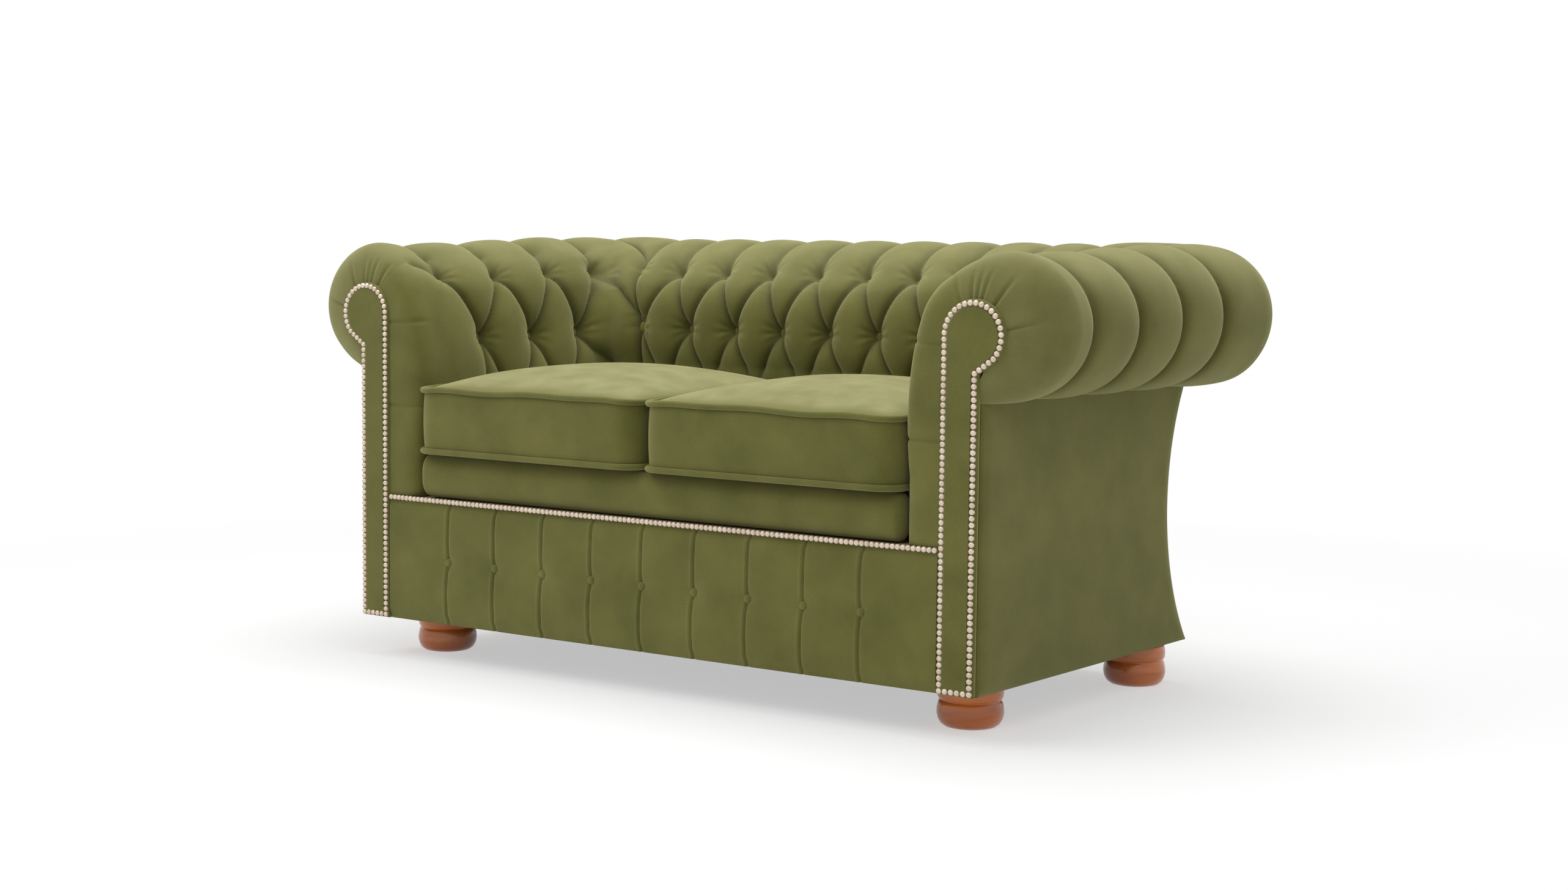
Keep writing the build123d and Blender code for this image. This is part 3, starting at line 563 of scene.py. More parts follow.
def arm_grid():
    """Grid of the right arm pad from nose to corner: X, Y, Z and the distance along the arm."""
    step = 4.0
    columns = 150
    turn_r = 14.0
    nose_angles = np.linspace(90, 0, 20)[:-1]
    targets = nose_targets()
    plan = []
    for j in range(len(arm_profile)):
        in_hem = j < HEM_ROWS
        x, z = arm_profile[j]
        y_end, z_end = back_profile[j]
        x_end = CORNER_X[j]
        soft = min(turn_r, max(x - x_end, 0.01))
        path = [(x, y) for y in np.arange(NOSE, y_end - soft, step)]
        path += [(x - soft + soft * cos(a), y_end - soft + soft * sin(a)) for a in np.linspace(0, pi / 2, 6)]
        path += [(c, y_end) for c in np.arange(x - soft - step, x_end, -step)]
        path.append((x_end, y_end))
        path = np.array(path)
        run = run_along(path)
        share = np.linspace(0, 1, columns)
        even = np.stack([np.interp(share, run / run[-1], path[:, k]) for k in (0, 1)], 1)
        u = NOSE + share * run[-1]
        lift = smoothstep(u[-1] - 120, u[-1] - 10, u)
        hem = ARM_FRONT_HEM + (ARM_HEM - ARM_FRONT_HEM) * smoothstep(36, 44, u)
        height = hem_height(z, hem) if in_hem else np.full_like(u, z)
        height = height * (1 - lift) + z_end * lift
        body = np.column_stack([even, height, u])
        tx, tz = targets[j]
        front_z = hem_height(z, ARM_FRONT_HEM) if in_hem else height[0]
        rise = 0 if in_hem else max(tz, ARM_FRONT_HEM) - front_z
        square = 1 - NOSE_SQUARE * (1 - smoothstep(ARM_UP - 70, ARM_UP + 130, arm_run[j]))
        inward = 1 - np.cos(np.radians(nose_angles)) ** square
        nose_y = NOSE - NOSE * np.sin(np.radians(nose_angles)) ** square
        nose = np.column_stack([x + (tx - x) * inward, nose_y, front_z + rise * inward, nose_y])
        plan.append(np.concatenate([nose, body]))
    return np.array(plan).transpose(1, 0, 2)


def arm_creases():
    """Pleats of an arm and the places of its buttons in the pleat plan."""
    neck = arm_run[-1]
    creases = []
    for column, over in zip(ARM_COLUMNS, ARM_ROLL_COLUMNS):
        creases.append((column, ARM_UP, over, ARM_UP + 60, ROLL_PLEAT))
        creases.append((over, ARM_UP + 60, over, neck + 10, ROLL_PLEAT))
    for k, low in enumerate(ARM_LOWS):
        front_lean = 8 if k == 0 else LOW_PLEAT_LEAN
        creases.append((ARM_COLUMNS[k], ARM_UP, low, ARM_DOWN, DIAMOND_PLEAT))
        creases.append((ARM_COLUMNS[k + 1], ARM_UP, low, ARM_DOWN, DIAMOND_PLEAT))
        creases.append((low, ARM_DOWN, low + LOW_PLEAT_LEAN, ARM_DOWN - LOW_PLEAT_FALL, LOW_PLEAT))
        creases.append((low, ARM_DOWN, low - front_lean, ARM_DOWN - LOW_PLEAT_FALL, LOW_PLEAT))
    creases.append((ARM_COLUMNS[0], ARM_UP, 60, ARM_UP + 28, 9))
    creases.append((60, ARM_UP + 28, -10, ARM_UP + 20, 5))
    buttons = [(c, ARM_UP) for c in ARM_COLUMNS] + [(low, ARM_DOWN) for low in ARM_LOWS]
    return creases, buttons


def corner_pleat(points, u, v):
    """Pleat drawn straight across the turn, from the arm's last upper button to the button in the corner."""
    along = (points[..., 1] - points[..., 0]) / 2 ** 0.5
    ends = []
    for run, place in ((ARM_UP, ARM_COLUMNS[-1]), (ARM_DOWN, None)):
        j = np.argmin(np.abs(arm_run - run))
        i = len(u) - 1 if place is None else np.argmin(np.abs(u[:, j] - place))
        ends += [along[i, j], points[i, j, 2]]
    depth, near = crease_depth(along, points[..., 2], [(*ends, DIAMOND_PLEAT)])
    inner = 1 - smoothstep(ARM_UP, ARM_UP + 25, v)
    return depth * inner, near + 1e3 * (1 - inner)


def levelled(depth):
    """Depth that levels off at the deepest that a pad is drawn in."""
    return DEEPEST * np.tanh(depth / DEEPEST)


def edge_fade(v, neck):
    """How much of the pleats is left at the hem and at the neck, where the cover is tucked in."""
    return smoothstep(-6, 30, v) * (1 - smoothstep(neck - 40, neck, v) * 0.6)


def button_seats(buttons, u, run, moved, inward):
    """Place and outward direction of each button on a drawn-in pad."""
    seats = []
    for bu, bv in buttons:
        j = np.argmin(np.abs(run - bv))
        i = np.argmin(np.abs(u[:, j] - bu))
        seats.append((moved[i, j], -inward[i, j]))
    return seats


def arm_surface():
    """Points of the right arm pad, its button seats, its painted crease shade and its painted highlight."""
    rng = np.random.default_rng(SEED)
    plan = arm_grid()
    points = plan[..., :3]
    u = plan[..., 3]
    v = np.broadcast_to(arm_run, u.shape)
    creases, buttons = arm_creases()
    depth, closest = crease_depth(u, v, creases)
    depth += button_pull(u, v, buttons, rng)
    across, near = corner_pleat(points, u, v)
    depth += across
    corner = u[-1] - u
    closest = np.minimum(np.minimum(closest, near), corner)
    depth += CORNER_PLEAT * fold(corner)
    nose_share = np.clip((NOSE - u) / NOSE, 0, 1)
    depth = levelled(depth) * (1 - smoothstep(0.0, 0.9, nose_share) * 0.9)
    depth += nose_gathers(v, nose_share)
    depth *= edge_fade(v, arm_run[-1])
    inward = inward_normals(points, 1)
    moved = points + inward * depth[..., None]
    moved[..., 2] -= ARM_DROP * (1 - smoothstep(150, 560, u)) * smoothstep(FRAME_TOP, HEIGHT, points[..., 2])
    seats = button_seats(buttons, u, arm_run, moved, inward)
    # Painted shade along the creases, and a painted highlight on the upper nose and the upper side of the
    # roll
    shade = np.exp(-closest / SHADE_WIDTH) * (1 - nose_share)
    nose_highlight = NOSE_HIGHLIGHT * (1 - smoothstep(60, 180, u)) * smoothstep(ARM_UP, ARM_UP + 90, v)
    return moved, seats, shade, np.maximum(upward_highlight(inward), nose_highlight)


def back_surface():
    """Points of the back pad, its button seats, its painted crease shade and its painted highlight."""
    rng = np.random.default_rng(SEED + 1)
    share = np.linspace(-1, 1, 331)
    x = share[:, None] * CORNER_X[None, :]
    y = np.broadcast_to(back_profile[:, 0], x.shape)
    z = np.broadcast_to(back_profile[:, 1], x.shape)
    v = np.broadcast_to(back_run, x.shape)
    points = np.stack([x, y, z], -1)
    ups = (np.arange(8) - 3.5) * BACK_PITCH
    lows = (np.arange(7) - 3) * BACK_PITCH
    neck = back_run[-1]
    low_end = CORNER_X[np.argmin(np.abs(back_run - BACK_DOWN))]
    up_end = CORNER_X[np.argmin(np.abs(back_run - BACK_UP))]
    creases = [(c, BACK_UP, c, neck + 10, ROLL_PLEAT) for c in (-up_end, *ups, up_end)]
    all_lows = (-low_end, *lows, low_end)
    for c, left_low, right_low in zip(ups, all_lows, all_lows[1:]):
        creases.append((c, BACK_UP, left_low, BACK_DOWN, DIAMOND_PLEAT))
        creases.append((c, BACK_UP, right_low, BACK_DOWN, DIAMOND_PLEAT))
    for c in all_lows:
        for side in (-1, 1):
            foot = c + side * BACK_PITCH / 2
            creases.append((c, BACK_DOWN, foot, BACK_DOWN - LOW_PLEAT_FALL, LOW_PLEAT))
    buttons = [(c, BACK_UP) for c in ups] + [(c, BACK_DOWN) for c in all_lows]
    buttons += [(-up_end, BACK_UP), (up_end, BACK_UP)]
    depth, closest = crease_depth(x, v, creases)
    depth += button_pull(x, v, buttons, rng)
    corner = CORNER_X[None, :] - np.abs(x)
    closest = np.minimum(closest, corner)
    depth += CORNER_PLEAT * fold(corner)
    depth = levelled(depth) * edge_fade(v, neck)
    inward = inward_normals(points, -1)
    moved = points + inward * depth[..., None]
    seats = button_seats(buttons, x, back_run, moved, inward)
    # Painted shade along the creases and a painted highlight on the upper side of the roll
    return moved, seats, np.exp(-closest / SHADE_WIDTH), upward_highlight(inward)


def draw_end(grid, edge):
    """Draw the last rows of a grid over so that it ends on an edge."""
    offset = edge - grid[-1]
    for k in range(JOIN_ROWS):
        grid[-1 - k] += offset * (1 - k / JOIN_ROWS)


def button_mesh(name, seats, radius, rise, material):
    """Covered buttons as domes with a drawn-in rim, one mesh for all of them."""
    rings = ((1.0, -0.6), (1.06, 0.0), (1.0, 0.45), (0.8, 0.8), (0.45, 0.97), (0.0, 1.0))
    around = 18
    points, faces = [], []
    for centre, normal in seats:
        axis = Vector(normal).normalized()
        turn = axis.to_track_quat("Z", "Y").to_matrix()
        base = len(points)
        for share, height in rings:
            for k in range(around):
                angle = 2 * pi * k / around
                local = Vector((share * radius * cos(angle), share * radius * sin(angle), height * rise))
                points.append(Vector(centre) + turn @ local)
        faces += [[i + base for i in quad] for quad in grid_faces(len(rings), around, True, True)]
    return mesh_piece(name, [tuple(p) for p in points], faces, material)


def finish_piece(piece, body, slot, *nodes):
    """Set what a piece rides on and hide the nodes it stands for; its slot is not used."""
    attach(piece, body)
    if nodes:
        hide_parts(*nodes)
    return piece


def rolled_pads():
    """Arm pads, back pad and their buttons."""
    arm, arm_seats, arm_shade, arm_highlight = arm_surface()
    back, back_seats, back_shade, back_highlight = back_surface()
    edge = (arm[-1] + back[-1]) / 2
    draw_end(arm, edge)
    draw_end(back, edge)
    draw_end(back[::-1], mirrored(edge))
    arm = round_corner(arm)
    back = round_corner(back)
    for side, points, flip in (("right", arm, False), ("left", mirrored(arm), True)):
        faces = grid_faces(*arm.shape[:2], flip)
        pad = mesh_piece(side + "_arm_velvet", points.reshape(-1, 3), faces, VELVET)
        finish_piece(pad, "sofa", "velvet", side + "_arm_pad", side + "_arm_front_border")
        # Painted crease shade and painted highlight of the arm, kept for the velvet to read
        keep_layer(pad, CREASE_SHADE_LAYER, arm_shade)
        keep_layer(pad, HIGHLIGHT_LAYER, arm_highlight)
    pad = mesh_piece("back_velvet", back.reshape(-1, 3), grid_faces(*back.shape[:2], True), VELVET)
    finish_piece(pad, "sofa", "velvet", "back_pad")
    # Painted crease shade and painted highlight of the back, kept for the velvet to read
    keep_layer(pad, CREASE_SHADE_LAYER, back_shade)
    keep_layer(pad, HIGHLIGHT_LAYER, back_highlight)
    both_arms = arm_seats + [(mirrored(place), mirrored(out)) for place, out in arm_seats]
    for name, seats in (("arm", both_arms), ("back", back_seats)):
        buttons = button_mesh(name + "_buttons", seats, BUTTON_R, BUTTON_RISE, VELVET)
        finish_piece(buttons, "sofa", "velvet", name + "_tuft_buttons")


rolled_pads()


# Facings, nails, panels

def keyhole_facings():
    """Padded facings on the front of the arms, from rings given as inset and Y."""
    rings = ((3.0, 5.0), (0.0, 4.0), (0.0, -1.5), (1.6, -4.2), (4.5, -5.0), (12.0, -5.6))
    for side, sign in (("left", -1), ("right", 1)):
        points = []
        for inset, y in rings:
            loop = facing_outline(inset, 240)
            points += [(sign * x, y, z) for x, z in loop]
        count = len(loop)
        faces = list(grid_faces(len(rings), count, sign < 0, True))
        cap = list(range((len(rings) - 1) * count, len(rings) * count))
        faces.append(cap if sign > 0 else cap[::-1])
        piece = mesh_piece(side + "_facing_velvet", points, faces, VELVET)
        shade_flat(piece, len(faces) - 1)
        finish_piece(piece, "sofa", "velvet", side + "_arm_facing")


def shell(name, outer, shift, flip):
    """Closed velvet sheet between a grid of points and the same grid moved by shift."""
    rows, columns = outer.shape[:2]
    count = rows * columns
    index = np.arange(count).reshape(rows, columns)
    rim = np.concatenate([index[0], index[1:, -1], index[-1, -2::-1], index[-2:0:-1, 0]])
    following = np.roll(rim, -1)
    sides = np.stack([rim, following, following + count, rim + count], 1)
    faces = [*grid_faces(rows, columns, flip), *(grid_faces(rows, columns, not flip) + count)]
    first_side = len(faces)
    faces += list(sides[:, ::-1] if flip else sides)
    points = np.concatenate([outer, outer + np.array(shift, float)]).reshape(-1, 3)
    piece = mesh_piece(name, points, faces, VELVET)
    shade_flat(piece, first_side)
    return piece


def spaced(path, pitch):
    """Points evenly spaced along a path, close to a pitch."""
    path = np.array(path, float)
    run = run_along(path)
    count = max(int(round(run[-1] / pitch)), 1)
    where = np.linspace(0, run[-1], count + 1)
    return np.stack([np.interp(where, run, path[:, k]) for k in range(path.shape[1])], 1)


def nail_rows():
    """Nail heads round the facings and along the top of the front panel."""
    inset = 6
    facing_y, front_y = -5.0, -3.0
    border = spaced(facing_outline(inset, 600), NAIL_PITCH)
    foot = spaced([border[0], border[-1]], NAIL_PITCH)[1:-1]
    facing = np.concatenate([border, foot])
    end, level = FACING_IN - inset, FRONT_TOP - 2
    front = spaced([(-end, level), (end, level)], NAIL_PITCH * 0.96)
    rows = [(side + "_facing_nails", sign, facing_y, facing) for side, sign in (("left", -1), ("right", 1))]
    rows.append(("front_nails", 1, front_y, front))
    for name, sign, y, places in rows:
        seats = [((sign * x, y, z), FORWARD) for x, z in places]
        finish_piece(button_mesh(name, seats, NAIL_R, NAIL_RISE, NAILS), "sofa", "steel")


def front_panel():
    """Front border with its pleats and buttons."""
    half = FACING_IN - 0.5
    columns = np.arange(-half, half + 1, 1.6)
    heights = np.linspace(FRAME_BOTTOM, FRONT_TOP, 66)
    x, z = np.meshgrid(columns, heights, indexing="ij")
    edge = np.minimum(z - FRAME_BOTTOM, FRONT_TOP - z)
    y = 3.0 - 5.0 * smoothstep(0, 22, edge)
    pleats = (np.arange(9) - 4) * PANEL_PITCH
    rng = np.random.default_rng(SEED + 2)
    shade = np.zeros_like(x)
    for pleat in pleats:
        below = np.clip((PANEL_BUTTON_Z - z) / (PANEL_BUTTON_Z - FRAME_BOTTOM), 0, 1)
        lean = 9 * np.exp((z - FRONT_TOP) / 20) - 3.0 * np.sin(pi * below)
        away = x - pleat - lean - rng.uniform(-1, 1) * np.sin((z - PANEL_BUTTON_Z) / 35)
        y = y + 3.2 * np.exp(-np.abs(away) / 2.2) - 1.2 * np.exp(-((away + 5) / 3.5) ** 2)
        y = y + 6 * np.exp(-np.hypot(x - pleat, z - PANEL_BUTTON_Z) / 11)
        # Painted shade along each pleat line
        shade += 0.5 * np.exp(-np.abs(away) / 1.5)
    points = np.stack([x, y, z], -1)
    face = shell("front_velvet", points, (0, 12, 0), False)
    keep_layer(face, CREASE_SHADE_LAYER, np.concatenate([shade, np.zeros_like(shade)]))
    finish_piece(face, "sofa", "velvet", "front_panel")
    seats = [((pleat, 3.5, PANEL_BUTTON_Z), FORWARD) for pleat in pleats]
    buttons = button_mesh("front_buttons", seats, PANEL_BUTTON_R, PANEL_BUTTON_RISE, VELVET)
    finish_piece(buttons, "sofa", "velvet", "front_panel_buttons")


def waist(z):
    """Y of the outside back at a height."""
    curve = arc_through((BACK_FOOT, FRAME_BOTTOM), (BACK_WAIST, BACK_WAIST_Z), (BACK_NECK, FRAME_TOP), 200)
    return np.interp(z, curve[:, 1], curve[:, 0])


def edge_rise(near):
    """How far a panel's face has come up at a distance from its edge, from 0 to 1."""
    return smoothstep(-4, 26, near) ** 0.5


def outer_panels():
    """Outside arms and outside back."""
    heights = np.linspace(FRAME_BOTTOM, FRAME_TOP + 8, 60)
    share = np.linspace(0, 1, 80)
    s, z = np.meshgrid(share, heights, indexing="ij")
    front = 6.0
    y = front + s * (waist(z) - front)
    near = np.minimum(np.minimum(s, 1 - s) * 690, z - FRAME_BOTTOM)
    x = ARM_HALF - 6 + 7 * edge_rise(near)
    for side, sign in (("left", -1), ("right", 1)):
        points = np.stack([sign * x, y, z], -1)
        panel = shell(side + "_outer_velvet", points, (-16 * sign, 0, 0), sign < 0)
        finish_piece(panel, "sofa", "velvet", side + "_outer_arm_panel")
    half = ARM_HALF - 5
    x, z = np.meshgrid(np.linspace(-half, half, 160), heights, indexing="ij")
    near = np.minimum(half - np.abs(x), z - FRAME_BOTTOM)
    y = waist(z) - 5 + 6 * edge_rise(near)
    points = np.stack([x, y, z], -1)
    panel = shell("outer_back_velvet", points, (0, -12, 0), True)
    finish_piece(panel, "sofa", "velvet", "outer_back_panel")


keyhole_facings()
nail_rows()
front_panel()
outer_panels()


# Boxed and rounded soft pieces

def box_grid(low, high, step):
    """Surface of a box as a welded grid of quads."""
    made = bmesh.new()
    low, high = np.array(low, float), np.array(high, float)
    counts = np.maximum(np.ceil((high - low) / step).astype(int), 2)
    for axis in range(3):
        a, b = [k for k in range(3) if k != axis]
        for level in (low[axis], high[axis]):
            first = np.linspace(low[a], high[a], counts[a] + 1)
            second = np.linspace(low[b], high[b], counts[b] + 1)
            corner = [[None] * len(second) for _ in first]
            for i, p in enumerate(first):
                for k, q in enumerate(second):
                    at = [0, 0, 0]
                    at[axis], at[a], at[b] = level, p, q
                    corner[i][k] = made.verts.new(at)
            for i in range(len(first) - 1):
                for k in range(len(second) - 1):
                    made.faces.new((corner[i][k], corner[i + 1][k], corner[i + 1][k + 1], corner[i][k + 1]))
    bmesh.ops.remove_doubles(made, verts=made.verts, dist=0.01)
    bmesh.ops.recalc_face_normals(made, faces=made.faces)
    made.verts.index_update()
    points = np.array([v.co[:] for v in made.verts])
    faces = [[v.index for v in f.verts] for f in made.faces]
    made.free()
    return points, faces


def rounded(points, low, high, radius):
    """Box surface points drawn in to a rounded box; radius is given for each axis."""
    low, high, radius = (np.array(a, float) for a in (low, high, radius))
    core = np.clip(points, low + radius, high - radius)
    out = (points - core) / radius
    size = np.maximum(np.abs(out).max(1, keepdims=True), 1e-9)
    length = np.maximum(np.linalg.norm(out, axis=1, keepdims=True), 1e-9)
    return core + out * radius * np.where(size > 1e-6, size / length, 1)


def tube(name, path, radius, material):
    """Closed tube along a loop of points."""
    around = 10
    ahead = np.roll(path, -1, axis=0) - np.roll(path, 1, axis=0)
    ahead /= np.linalg.norm(ahead, axis=1, keepdims=True)
    side = np.cross(ahead, (0, 0, 1.0))
    side /= np.linalg.norm(side, axis=1, keepdims=True)
    over = np.cross(side, ahead)
    angles = np.linspace(0, 2 * pi, around, endpoint=False)
    rings = path[:, None] + radius * (np.cos(angles)[None, :, None] * side[:, None]
                                      + np.sin(angles)[None, :, None] * over[:, None])
    points = rings.reshape(-1, 3)
    quads = grid_faces(len(path) + 1, around, True, True) % len(points)
    return mesh_piece(name, points, np.roll(quads, 1, axis=1), material)


CUSHION_STEP = 9.0
CUSHION_CORNER = 38.0
CUSHION_TOP_DROP = 24.0
CUSHION_CROWN = 38.0
CUSHION_CROWN_POWER = 3.2
CUSHION_BULGE = 2.0
SIDE_SWELL = 3.0
TOP_SWELL = 20.0
SWELL_FRAMES = 20
SEAM_HOLD = 0.6


def inflate(piece, pinned, limit):
    """Swell a piece with cloth under pressure, then cap how far each point moved."""
    group = piece.vertex_groups.new(name="held")
    for index, weight in enumerate(pinned):
        if weight > 0:
            group.add([index], float(weight), "REPLACE")
    rest = np.array([v.co[:] for v in piece.data.vertices])
    cloth = piece.modifiers.new("cloth", "CLOTH")
    settings = cloth.settings
    settings.quality = 5
    settings.mass = 0.25
    settings.tension_stiffness = 12
    settings.compression_stiffness = 8
    settings.shear_stiffness = 4
    settings.bending_stiffness = 0.6
    settings.vertex_group_mass = "held"
    settings.pin_stiffness = 2.0
    settings.use_pressure = True
    settings.uniform_pressure_force = 4.0
    settings.effector_weights.gravity = 0
    cloth.collision_settings.use_collision = False
    scene = bpy.context.scene
    for step in range(1, SWELL_FRAMES + 1):
        scene.frame_set(step)
    evaluated = piece.evaluated_get(bpy.context.evaluated_depsgraph_get())
    swollen = np.array([v.co[:] for v in evaluated.data.vertices])
    piece.modifiers.remove(cloth)
    scene.frame_set(1)
    moved = swollen - rest
    length = np.maximum(np.linalg.norm(moved, axis=1, keepdims=True), 1e-9)
    capped = rest + moved * np.minimum(1, limit[:, None] * MM / length)
    piece.data.vertices.foreach_set("co", capped.ravel())
    piece.data.update()


def cushion_form():
    """Right cushion before it swells: points, faces, painted highlight on the top, pins, swelling limits,
    seams and middle.
    """
    low, high = node_corners("right_seat_cushion")
    low += (PIPING_R + PIPING_PROUD, 0, 0)
    high += (-2, 2, -CUSHION_TOP_DROP)
    flat, faces = box_grid(low, high, CUSHION_STEP)
    centre = (low + high) / 2
    half = (high - low) / 2
    offset = np.abs(flat[:, :2] - centre[:2]) - (half[:2] - CUSHION_CORNER)
    both = (offset > 0).all(1)
    size = offset.max(1) / np.maximum(np.hypot(*offset.T), 1e-9)
    shift = np.where(both[:, None], offset * (size[:, None] - 1), 0) * np.sign(flat[:, :2] - centre[:2])
    points = flat.copy()
    points[:, :2] += shift
    share = np.abs(points[:, :2] - centre[:2]) / half[:2]
    crown = (1 - share ** CUSHION_CROWN_POWER).prod(1)
    rise = (points[:, 2] - low[2]) / (high[2] - low[2])
    on_top = rise > 0.999
    on_side = (share.max(1) > 0.995) | both
    between = np.sin(pi * np.clip(rise, 0, 1))
    points[:, 2] += np.where(on_top, CUSHION_CROWN * crown - 7 * share.prod(1) ** 6, 0)
    points[:, :2] += (points[:, :2] - centre[:2]) / half[:2] * (CUSHION_BULGE * between * on_side)[:, None]
    # Painted highlight over the top, fading out towards its edges
    top_highlight = np.where(on_top, 1 - smoothstep(0.86, 0.99, share.max(1)), 0)
    waves = 1.3 * np.sin(points[:, 0] / 31) + 1.1 * np.sin(points[:, 0] / 71 + points[:, 1] / 47)
    points[:, 2] += rise * waves
    held = np.where(rise < 0.001, 1.0, 0.0)
    limit = np.where(on_side, SIDE_SWELL, TOP_SWELL)
    at_edge = (np.abs(flat[:, :2] - centre[:2]) / half[:2]).max(1) > 0.9999
    seams = []
    for level in (low[2], high[2]):
        ring = np.flatnonzero(at_edge & (np.abs(flat[:, 2] - level) < 0.01))
        order = np.argsort(np.arctan2(points[ring, 1] - centre[1], points[ring, 0] - centre[0]))
        seams.append(ring[order])
    for ring in seams:
        held[ring] = np.maximum(held[ring], SEAM_HOLD)
    return points, faces, top_highlight, held, limit, seams, centre


def seat_cushions():
    """Loose seat cushions with their piping."""
    points, faces, top_highlight, held, limit, seams, centre = cushion_form()
    for side, sign in (("right", 1), ("left", -1)):
        placed = points * np.array([sign, 1, 1])
        turned = faces if sign > 0 else [f[::-1] for f in faces]
        piece = mesh_piece(side + "_cushion_velvet", placed, turned, VELVET)
        # Painted highlight on the cushion top
        keep_layer(piece, HIGHLIGHT_LAYER, top_highlight * CUSHION_HIGHLIGHT)
        inflate(piece, held, limit)
        body = side + "_cushion"
        final = np.array([v.co[:] for v in piece.data.vertices]) / MM
        final[:, 1] -= FACE
        subdivide(piece)
        finish_piece(piece, body, "velvet", side + "_seat_cushion")
        for level, ring in zip(("bottom", "top"), seams):
            loop = final[ring]
            out = loop[:, :2] - centre[:2] * np.array([sign, 1])
            out /= np.linalg.norm(out, axis=1, keepdims=True)
            loop[:, :2] += out * PIPING_PROUD
            loop[:, 2] += PIPING_R * (1 if level == "bottom" else 0)
            finish_piece(tube(f"{side}_cushion_{level}_piping", loop, PIPING_R, VELVET), body, "velvet")


def lip():
    """Padded front edge of the platform."""
    low, high = node_corners("front_lip")
    low[0], high[0], high[2] = -LIP_HALF, LIP_HALF, LIP_TOP
    points, faces = box_grid(low, high, 6.0)
    points = rounded(points, low, high, (13, 21, 32))
    rng = np.random.default_rng(SEED + 3)
    ripple = np.zeros(len(points))
    for _ in range(5):
        ripple += rng.uniform(0.3, 0.8) * np.sin(points[:, 0] / rng.uniform(50, 160) + rng.uniform(0, 6))
    points[:, 1] += ripple * (points[:, 1] < 20)
    piece = mesh_piece("lip_velvet", points, faces, VELVET)
    subdivide(piece)
    finish_piece(piece, "foot_section", "velvet", "front_lip")


def mattresses():
    """Foam mattress sections in their ticking, with sewn tufts."""
    tuft_depth, tuft_width = 7, 30
    margin_x, margin_y = 110, 90
    for name in ("head", "middle", "foot"):
        low, high = node_corners(name + "_mattress")
        points, faces = box_grid(low, high, 10.0)
        points = rounded(points, low, high, (24, 24, 22))
        middle = (low[2] + high[2]) / 2
        face = np.sign(points[:, 2] - middle)
        for x in np.linspace(low[0] + margin_x, high[0] - margin_x, 6):
            for y in np.linspace(low[1] + margin_y, high[1] - margin_y, 3):
                away = np.hypot(points[:, 0] - x, points[:, 1] - y)
                tuft = tuft_depth * np.exp(-(away / tuft_width) ** 2)
                points[:, 2] -= face * tuft * (np.abs(points[:, 2] - middle) > 10)
        piece = mesh_piece(name + "_ticking", points, faces, TICKING)
        subdivide(piece)
        finish_piece(piece, name + "_section", "ticking", name + "_mattress")


seat_cushions()
lip()
mattresses()


# Feet

# Radius and height of a foot from the floor to the frame
FOOT_PROFILE = ((36, 0), (42, 1.5), (48, 6), (52, 13), (54, 22), (53.6, 30), (52, 38), (50.6, 42),
                (49.2, 43.4), (49.2, 44.6), (50.8, 45.8), (52.6, 49), (53.2, 55), (52.8, 62), (51.5, 68),
                (50, FRAME_BOTTOM))


def turned_feet():
    """Bun feet with a fine groove under the collar."""
    around = 64
    angles = np.linspace(0, 2 * pi, around, endpoint=False)
    radius, height = np.array(FOOT_PROFILE).T
    x, y = radius[:, None] * np.cos(angles), radius[:, None] * np.sin(angles)
    rings = np.stack(np.broadcast_arrays(x, y, height[:, None]), -1).reshape(-1, 3)
    faces = [tuple(quad) for quad in grid_faces(len(radius), around, True, True)]
    faces += [tuple(range(around))[::-1], tuple(range(len(rings) - around, len(rings)))]
    for name in ("front_left_foot", "front_right_foot", "rear_left_foot", "rear_right_foot"):
        low, high = node_corners(name)
        middle = (low + high) / 2 * (1, 1, 0)
        piece = mesh_piece("turned_" + name, rings + middle, faces, LACQUER)
        shade_flat(piece, len(faces) - 2)
        finish_piece(piece, "sofa", "turned_wood", name)


turned_feet()


# Finish of the pieces that keep their built shape

def dress_frame():
    """Give every frame node its procedural material."""
    slots = {m["slot"]: SLOT_MATERIALS[m["slot"]] for m in frame["record"]["materials"]}
    for part in frame["record"]["subparts"]:
        node = frame["nodes"][part["node"]]
        node.data.materials.clear()
        node.data.materials.append(slots[part["material_slot"]])


dress_frame()


# Floor, light and camera

WHITE = (1, 1, 1, 1)
FLOOR_HALF = 30
SHADOW_NEAR = 1.0
SHADOW_FAR = 2.6
WORLD_LIGHT = 0.39
CAMERA_PLACE = (2.5499, -3.5334, 0.7724)
CAMERA_AZIMUTH = 35.8498
CAMERA_PITCH = 4.9260
CAMERA_ROLL = 0.5871
CAMERA_LENS = 55.534
CAMERA_SENSOR = 36.0

# Lamps as name, place, aim, size and power
LAMPS = (("key", (-1.8, -2.4, 3.4), (0, 0, 0.4), 2.2, 52),
         ("fill", (2.4, -3.0, 3.0), (0.3, 0, 0.4), 2.0, 26),
         ("top", (0, 0.3, 3.4), (0, 0, 0), 2.5, 92))


def background_rays(nodes, links):
    """1 for the rays that show the background: from the camera, off metal and through glass."""
    path = nodes.new("ShaderNodeLightPath")
    seen = path.outputs["Is Camera Ray"]
    for kind in ("Is Glossy Ray", "Is Transmission Ray"):
        either = nodes.new("ShaderNodeMath")
        either.operation = "MAXIMUM"
        links.new(seen, either.inputs[0])
        links.new(path.outputs[kind], either.inputs[1])
        seen = either.outputs["Value"]
    return seen


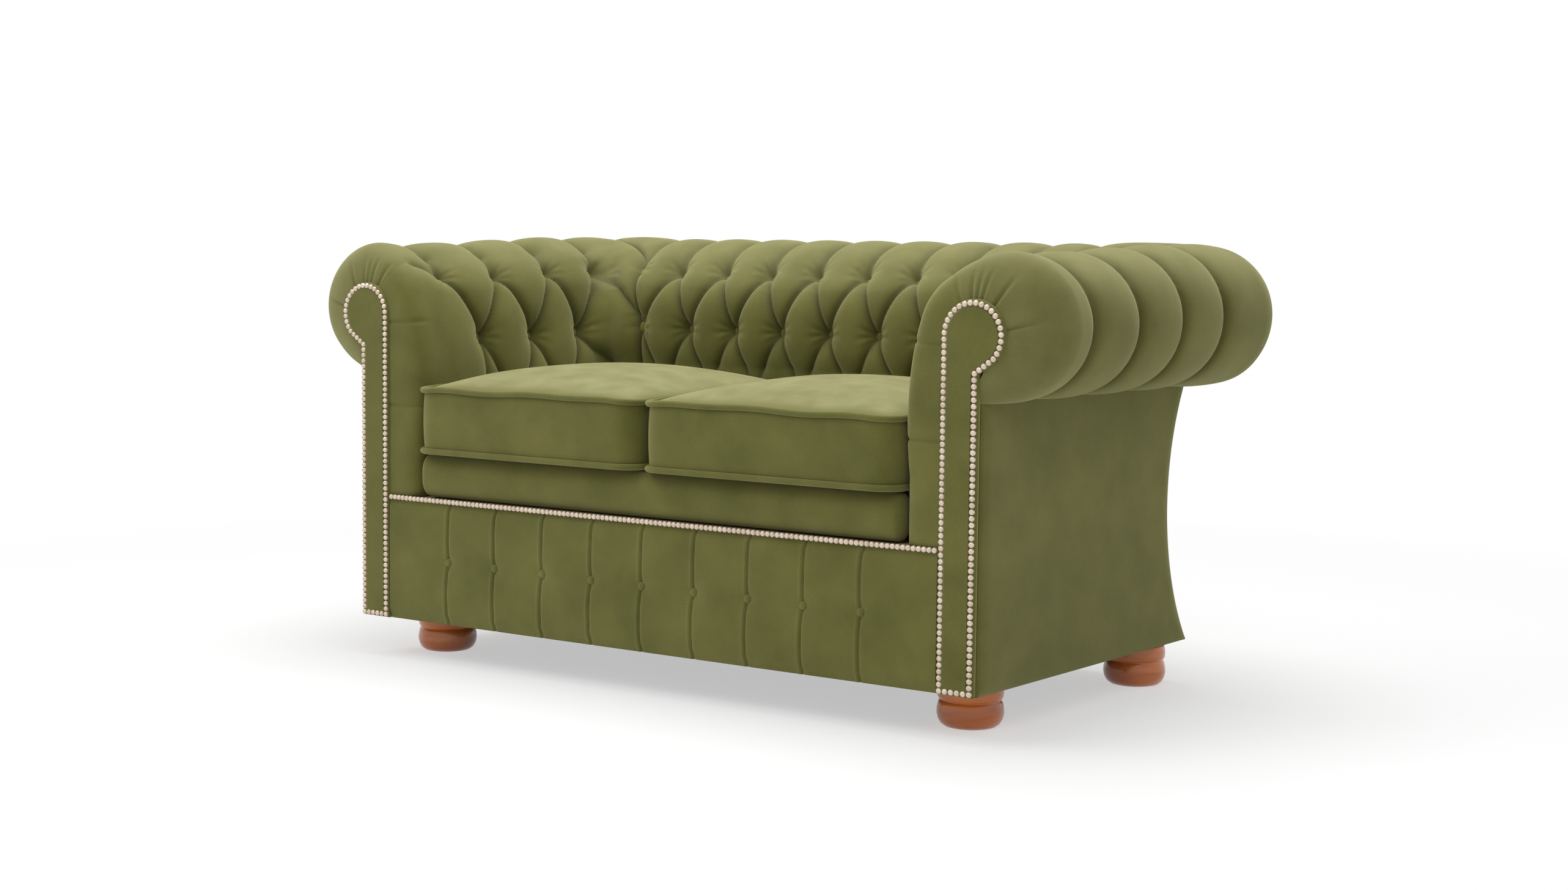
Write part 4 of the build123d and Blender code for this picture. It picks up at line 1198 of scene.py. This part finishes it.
def stage():
    """White floor that keeps the shadow."""
    mesh = bpy.data.meshes.new("floor")
    corners = [(x * FLOOR_HALF, y * FLOOR_HALF, 0) for x, y in ((-1, -1), (1, -1), (1, 1), (-1, 1))]
    mesh.from_pydata(corners, [], [(0, 1, 2, 3)])
    floor = bpy.data.objects.new("floor", mesh)
    bpy.context.scene.collection.objects.link(floor)
    material, nodes, links, shader = new_material("floor")
    set_inputs(shader, {"Base Color": (0.92, 0.92, 0.92, 1), "Roughness": 0.9})
    where = nodes.new("ShaderNodeNewGeometry")
    length = nodes.new("ShaderNodeVectorMath")
    length.operation = "LENGTH"
    reach = nodes.new("ShaderNodeMapRange")
    set_inputs(reach, {"From Min": SHADOW_NEAR, "From Max": SHADOW_FAR, "To Min": 0.5})
    use = nodes.new("ShaderNodeMath")
    use.operation = "MULTIPLY"
    white = nodes.new("ShaderNodeEmission")
    mix = nodes.new("ShaderNodeMixShader")
    links.new(where.outputs["Position"], length.inputs[0])
    links.new(length.outputs["Value"], reach.inputs["Value"])
    links.new(reach.outputs["Result"], use.inputs[0])
    links.new(background_rays(nodes, links), use.inputs[1])
    links.new(use.outputs["Value"], mix.inputs["Fac"])
    links.new(shader.outputs["BSDF"], mix.inputs[1])
    links.new(white.outputs["Emission"], mix.inputs[2])
    links.new(mix.outputs["Shader"], nodes["Material Output"].inputs["Surface"])
    mesh.materials.append(material)


def world():
    """Soft grey light all round, white where it is seen."""
    made = bpy.data.worlds.new("studio")
    bpy.context.scene.world = made
    made.use_nodes = True
    nodes, links = made.node_tree.nodes, made.node_tree.links
    nodes.clear()
    soft = nodes.new("ShaderNodeBackground")
    set_inputs(soft, {"Strength": WORLD_LIGHT, "Color": WHITE})
    white = nodes.new("ShaderNodeBackground")
    set_inputs(white, {"Color": WHITE})
    mix = nodes.new("ShaderNodeMixShader")
    out = nodes.new("ShaderNodeOutputWorld")
    links.new(background_rays(nodes, links), mix.inputs["Fac"])
    links.new(soft.outputs["Background"], mix.inputs[1])
    links.new(white.outputs["Background"], mix.inputs[2])
    links.new(mix.outputs["Shader"], out.inputs["Surface"])


def lamp(name, place, aim, size, power):
    """Square soft lamp."""
    light = bpy.data.lights.new(name, "AREA")
    light.size = size
    light.energy = power
    piece = bpy.data.objects.new(name, light)
    piece.location = place
    piece.rotation_euler = (Vector(aim) - Vector(place)).to_track_quat("-Z", "Y").to_euler()
    bpy.context.scene.collection.objects.link(piece)


def camera():
    """Camera at the photograph's place."""
    azimuth, pitch, roll = (radians(angle) for angle in (CAMERA_AZIMUTH, CAMERA_PITCH, CAMERA_ROLL))
    data = bpy.data.cameras.new("camera")
    data.sensor_width = CAMERA_SENSOR
    data.lens = CAMERA_LENS
    piece = bpy.data.objects.new("camera", data)
    back = Vector((sin(azimuth) * cos(pitch), -cos(azimuth) * cos(pitch), sin(pitch)))
    right = Vector((cos(azimuth), sin(azimuth), 0))
    up = back.cross(right)
    tilted = right * cos(roll) + up * sin(roll)
    above = up * cos(roll) - right * sin(roll)
    turn = Matrix((tilted, above, back)).transposed()
    piece.matrix_world = Matrix.Translation(CAMERA_PLACE) @ turn.to_4x4()
    bpy.context.scene.collection.objects.link(piece)
    bpy.context.scene.camera = piece


stage()
world()
for settings in LAMPS:
    lamp(*settings)
camera()
bpy.context.scene.view_settings.view_transform = "Standard"
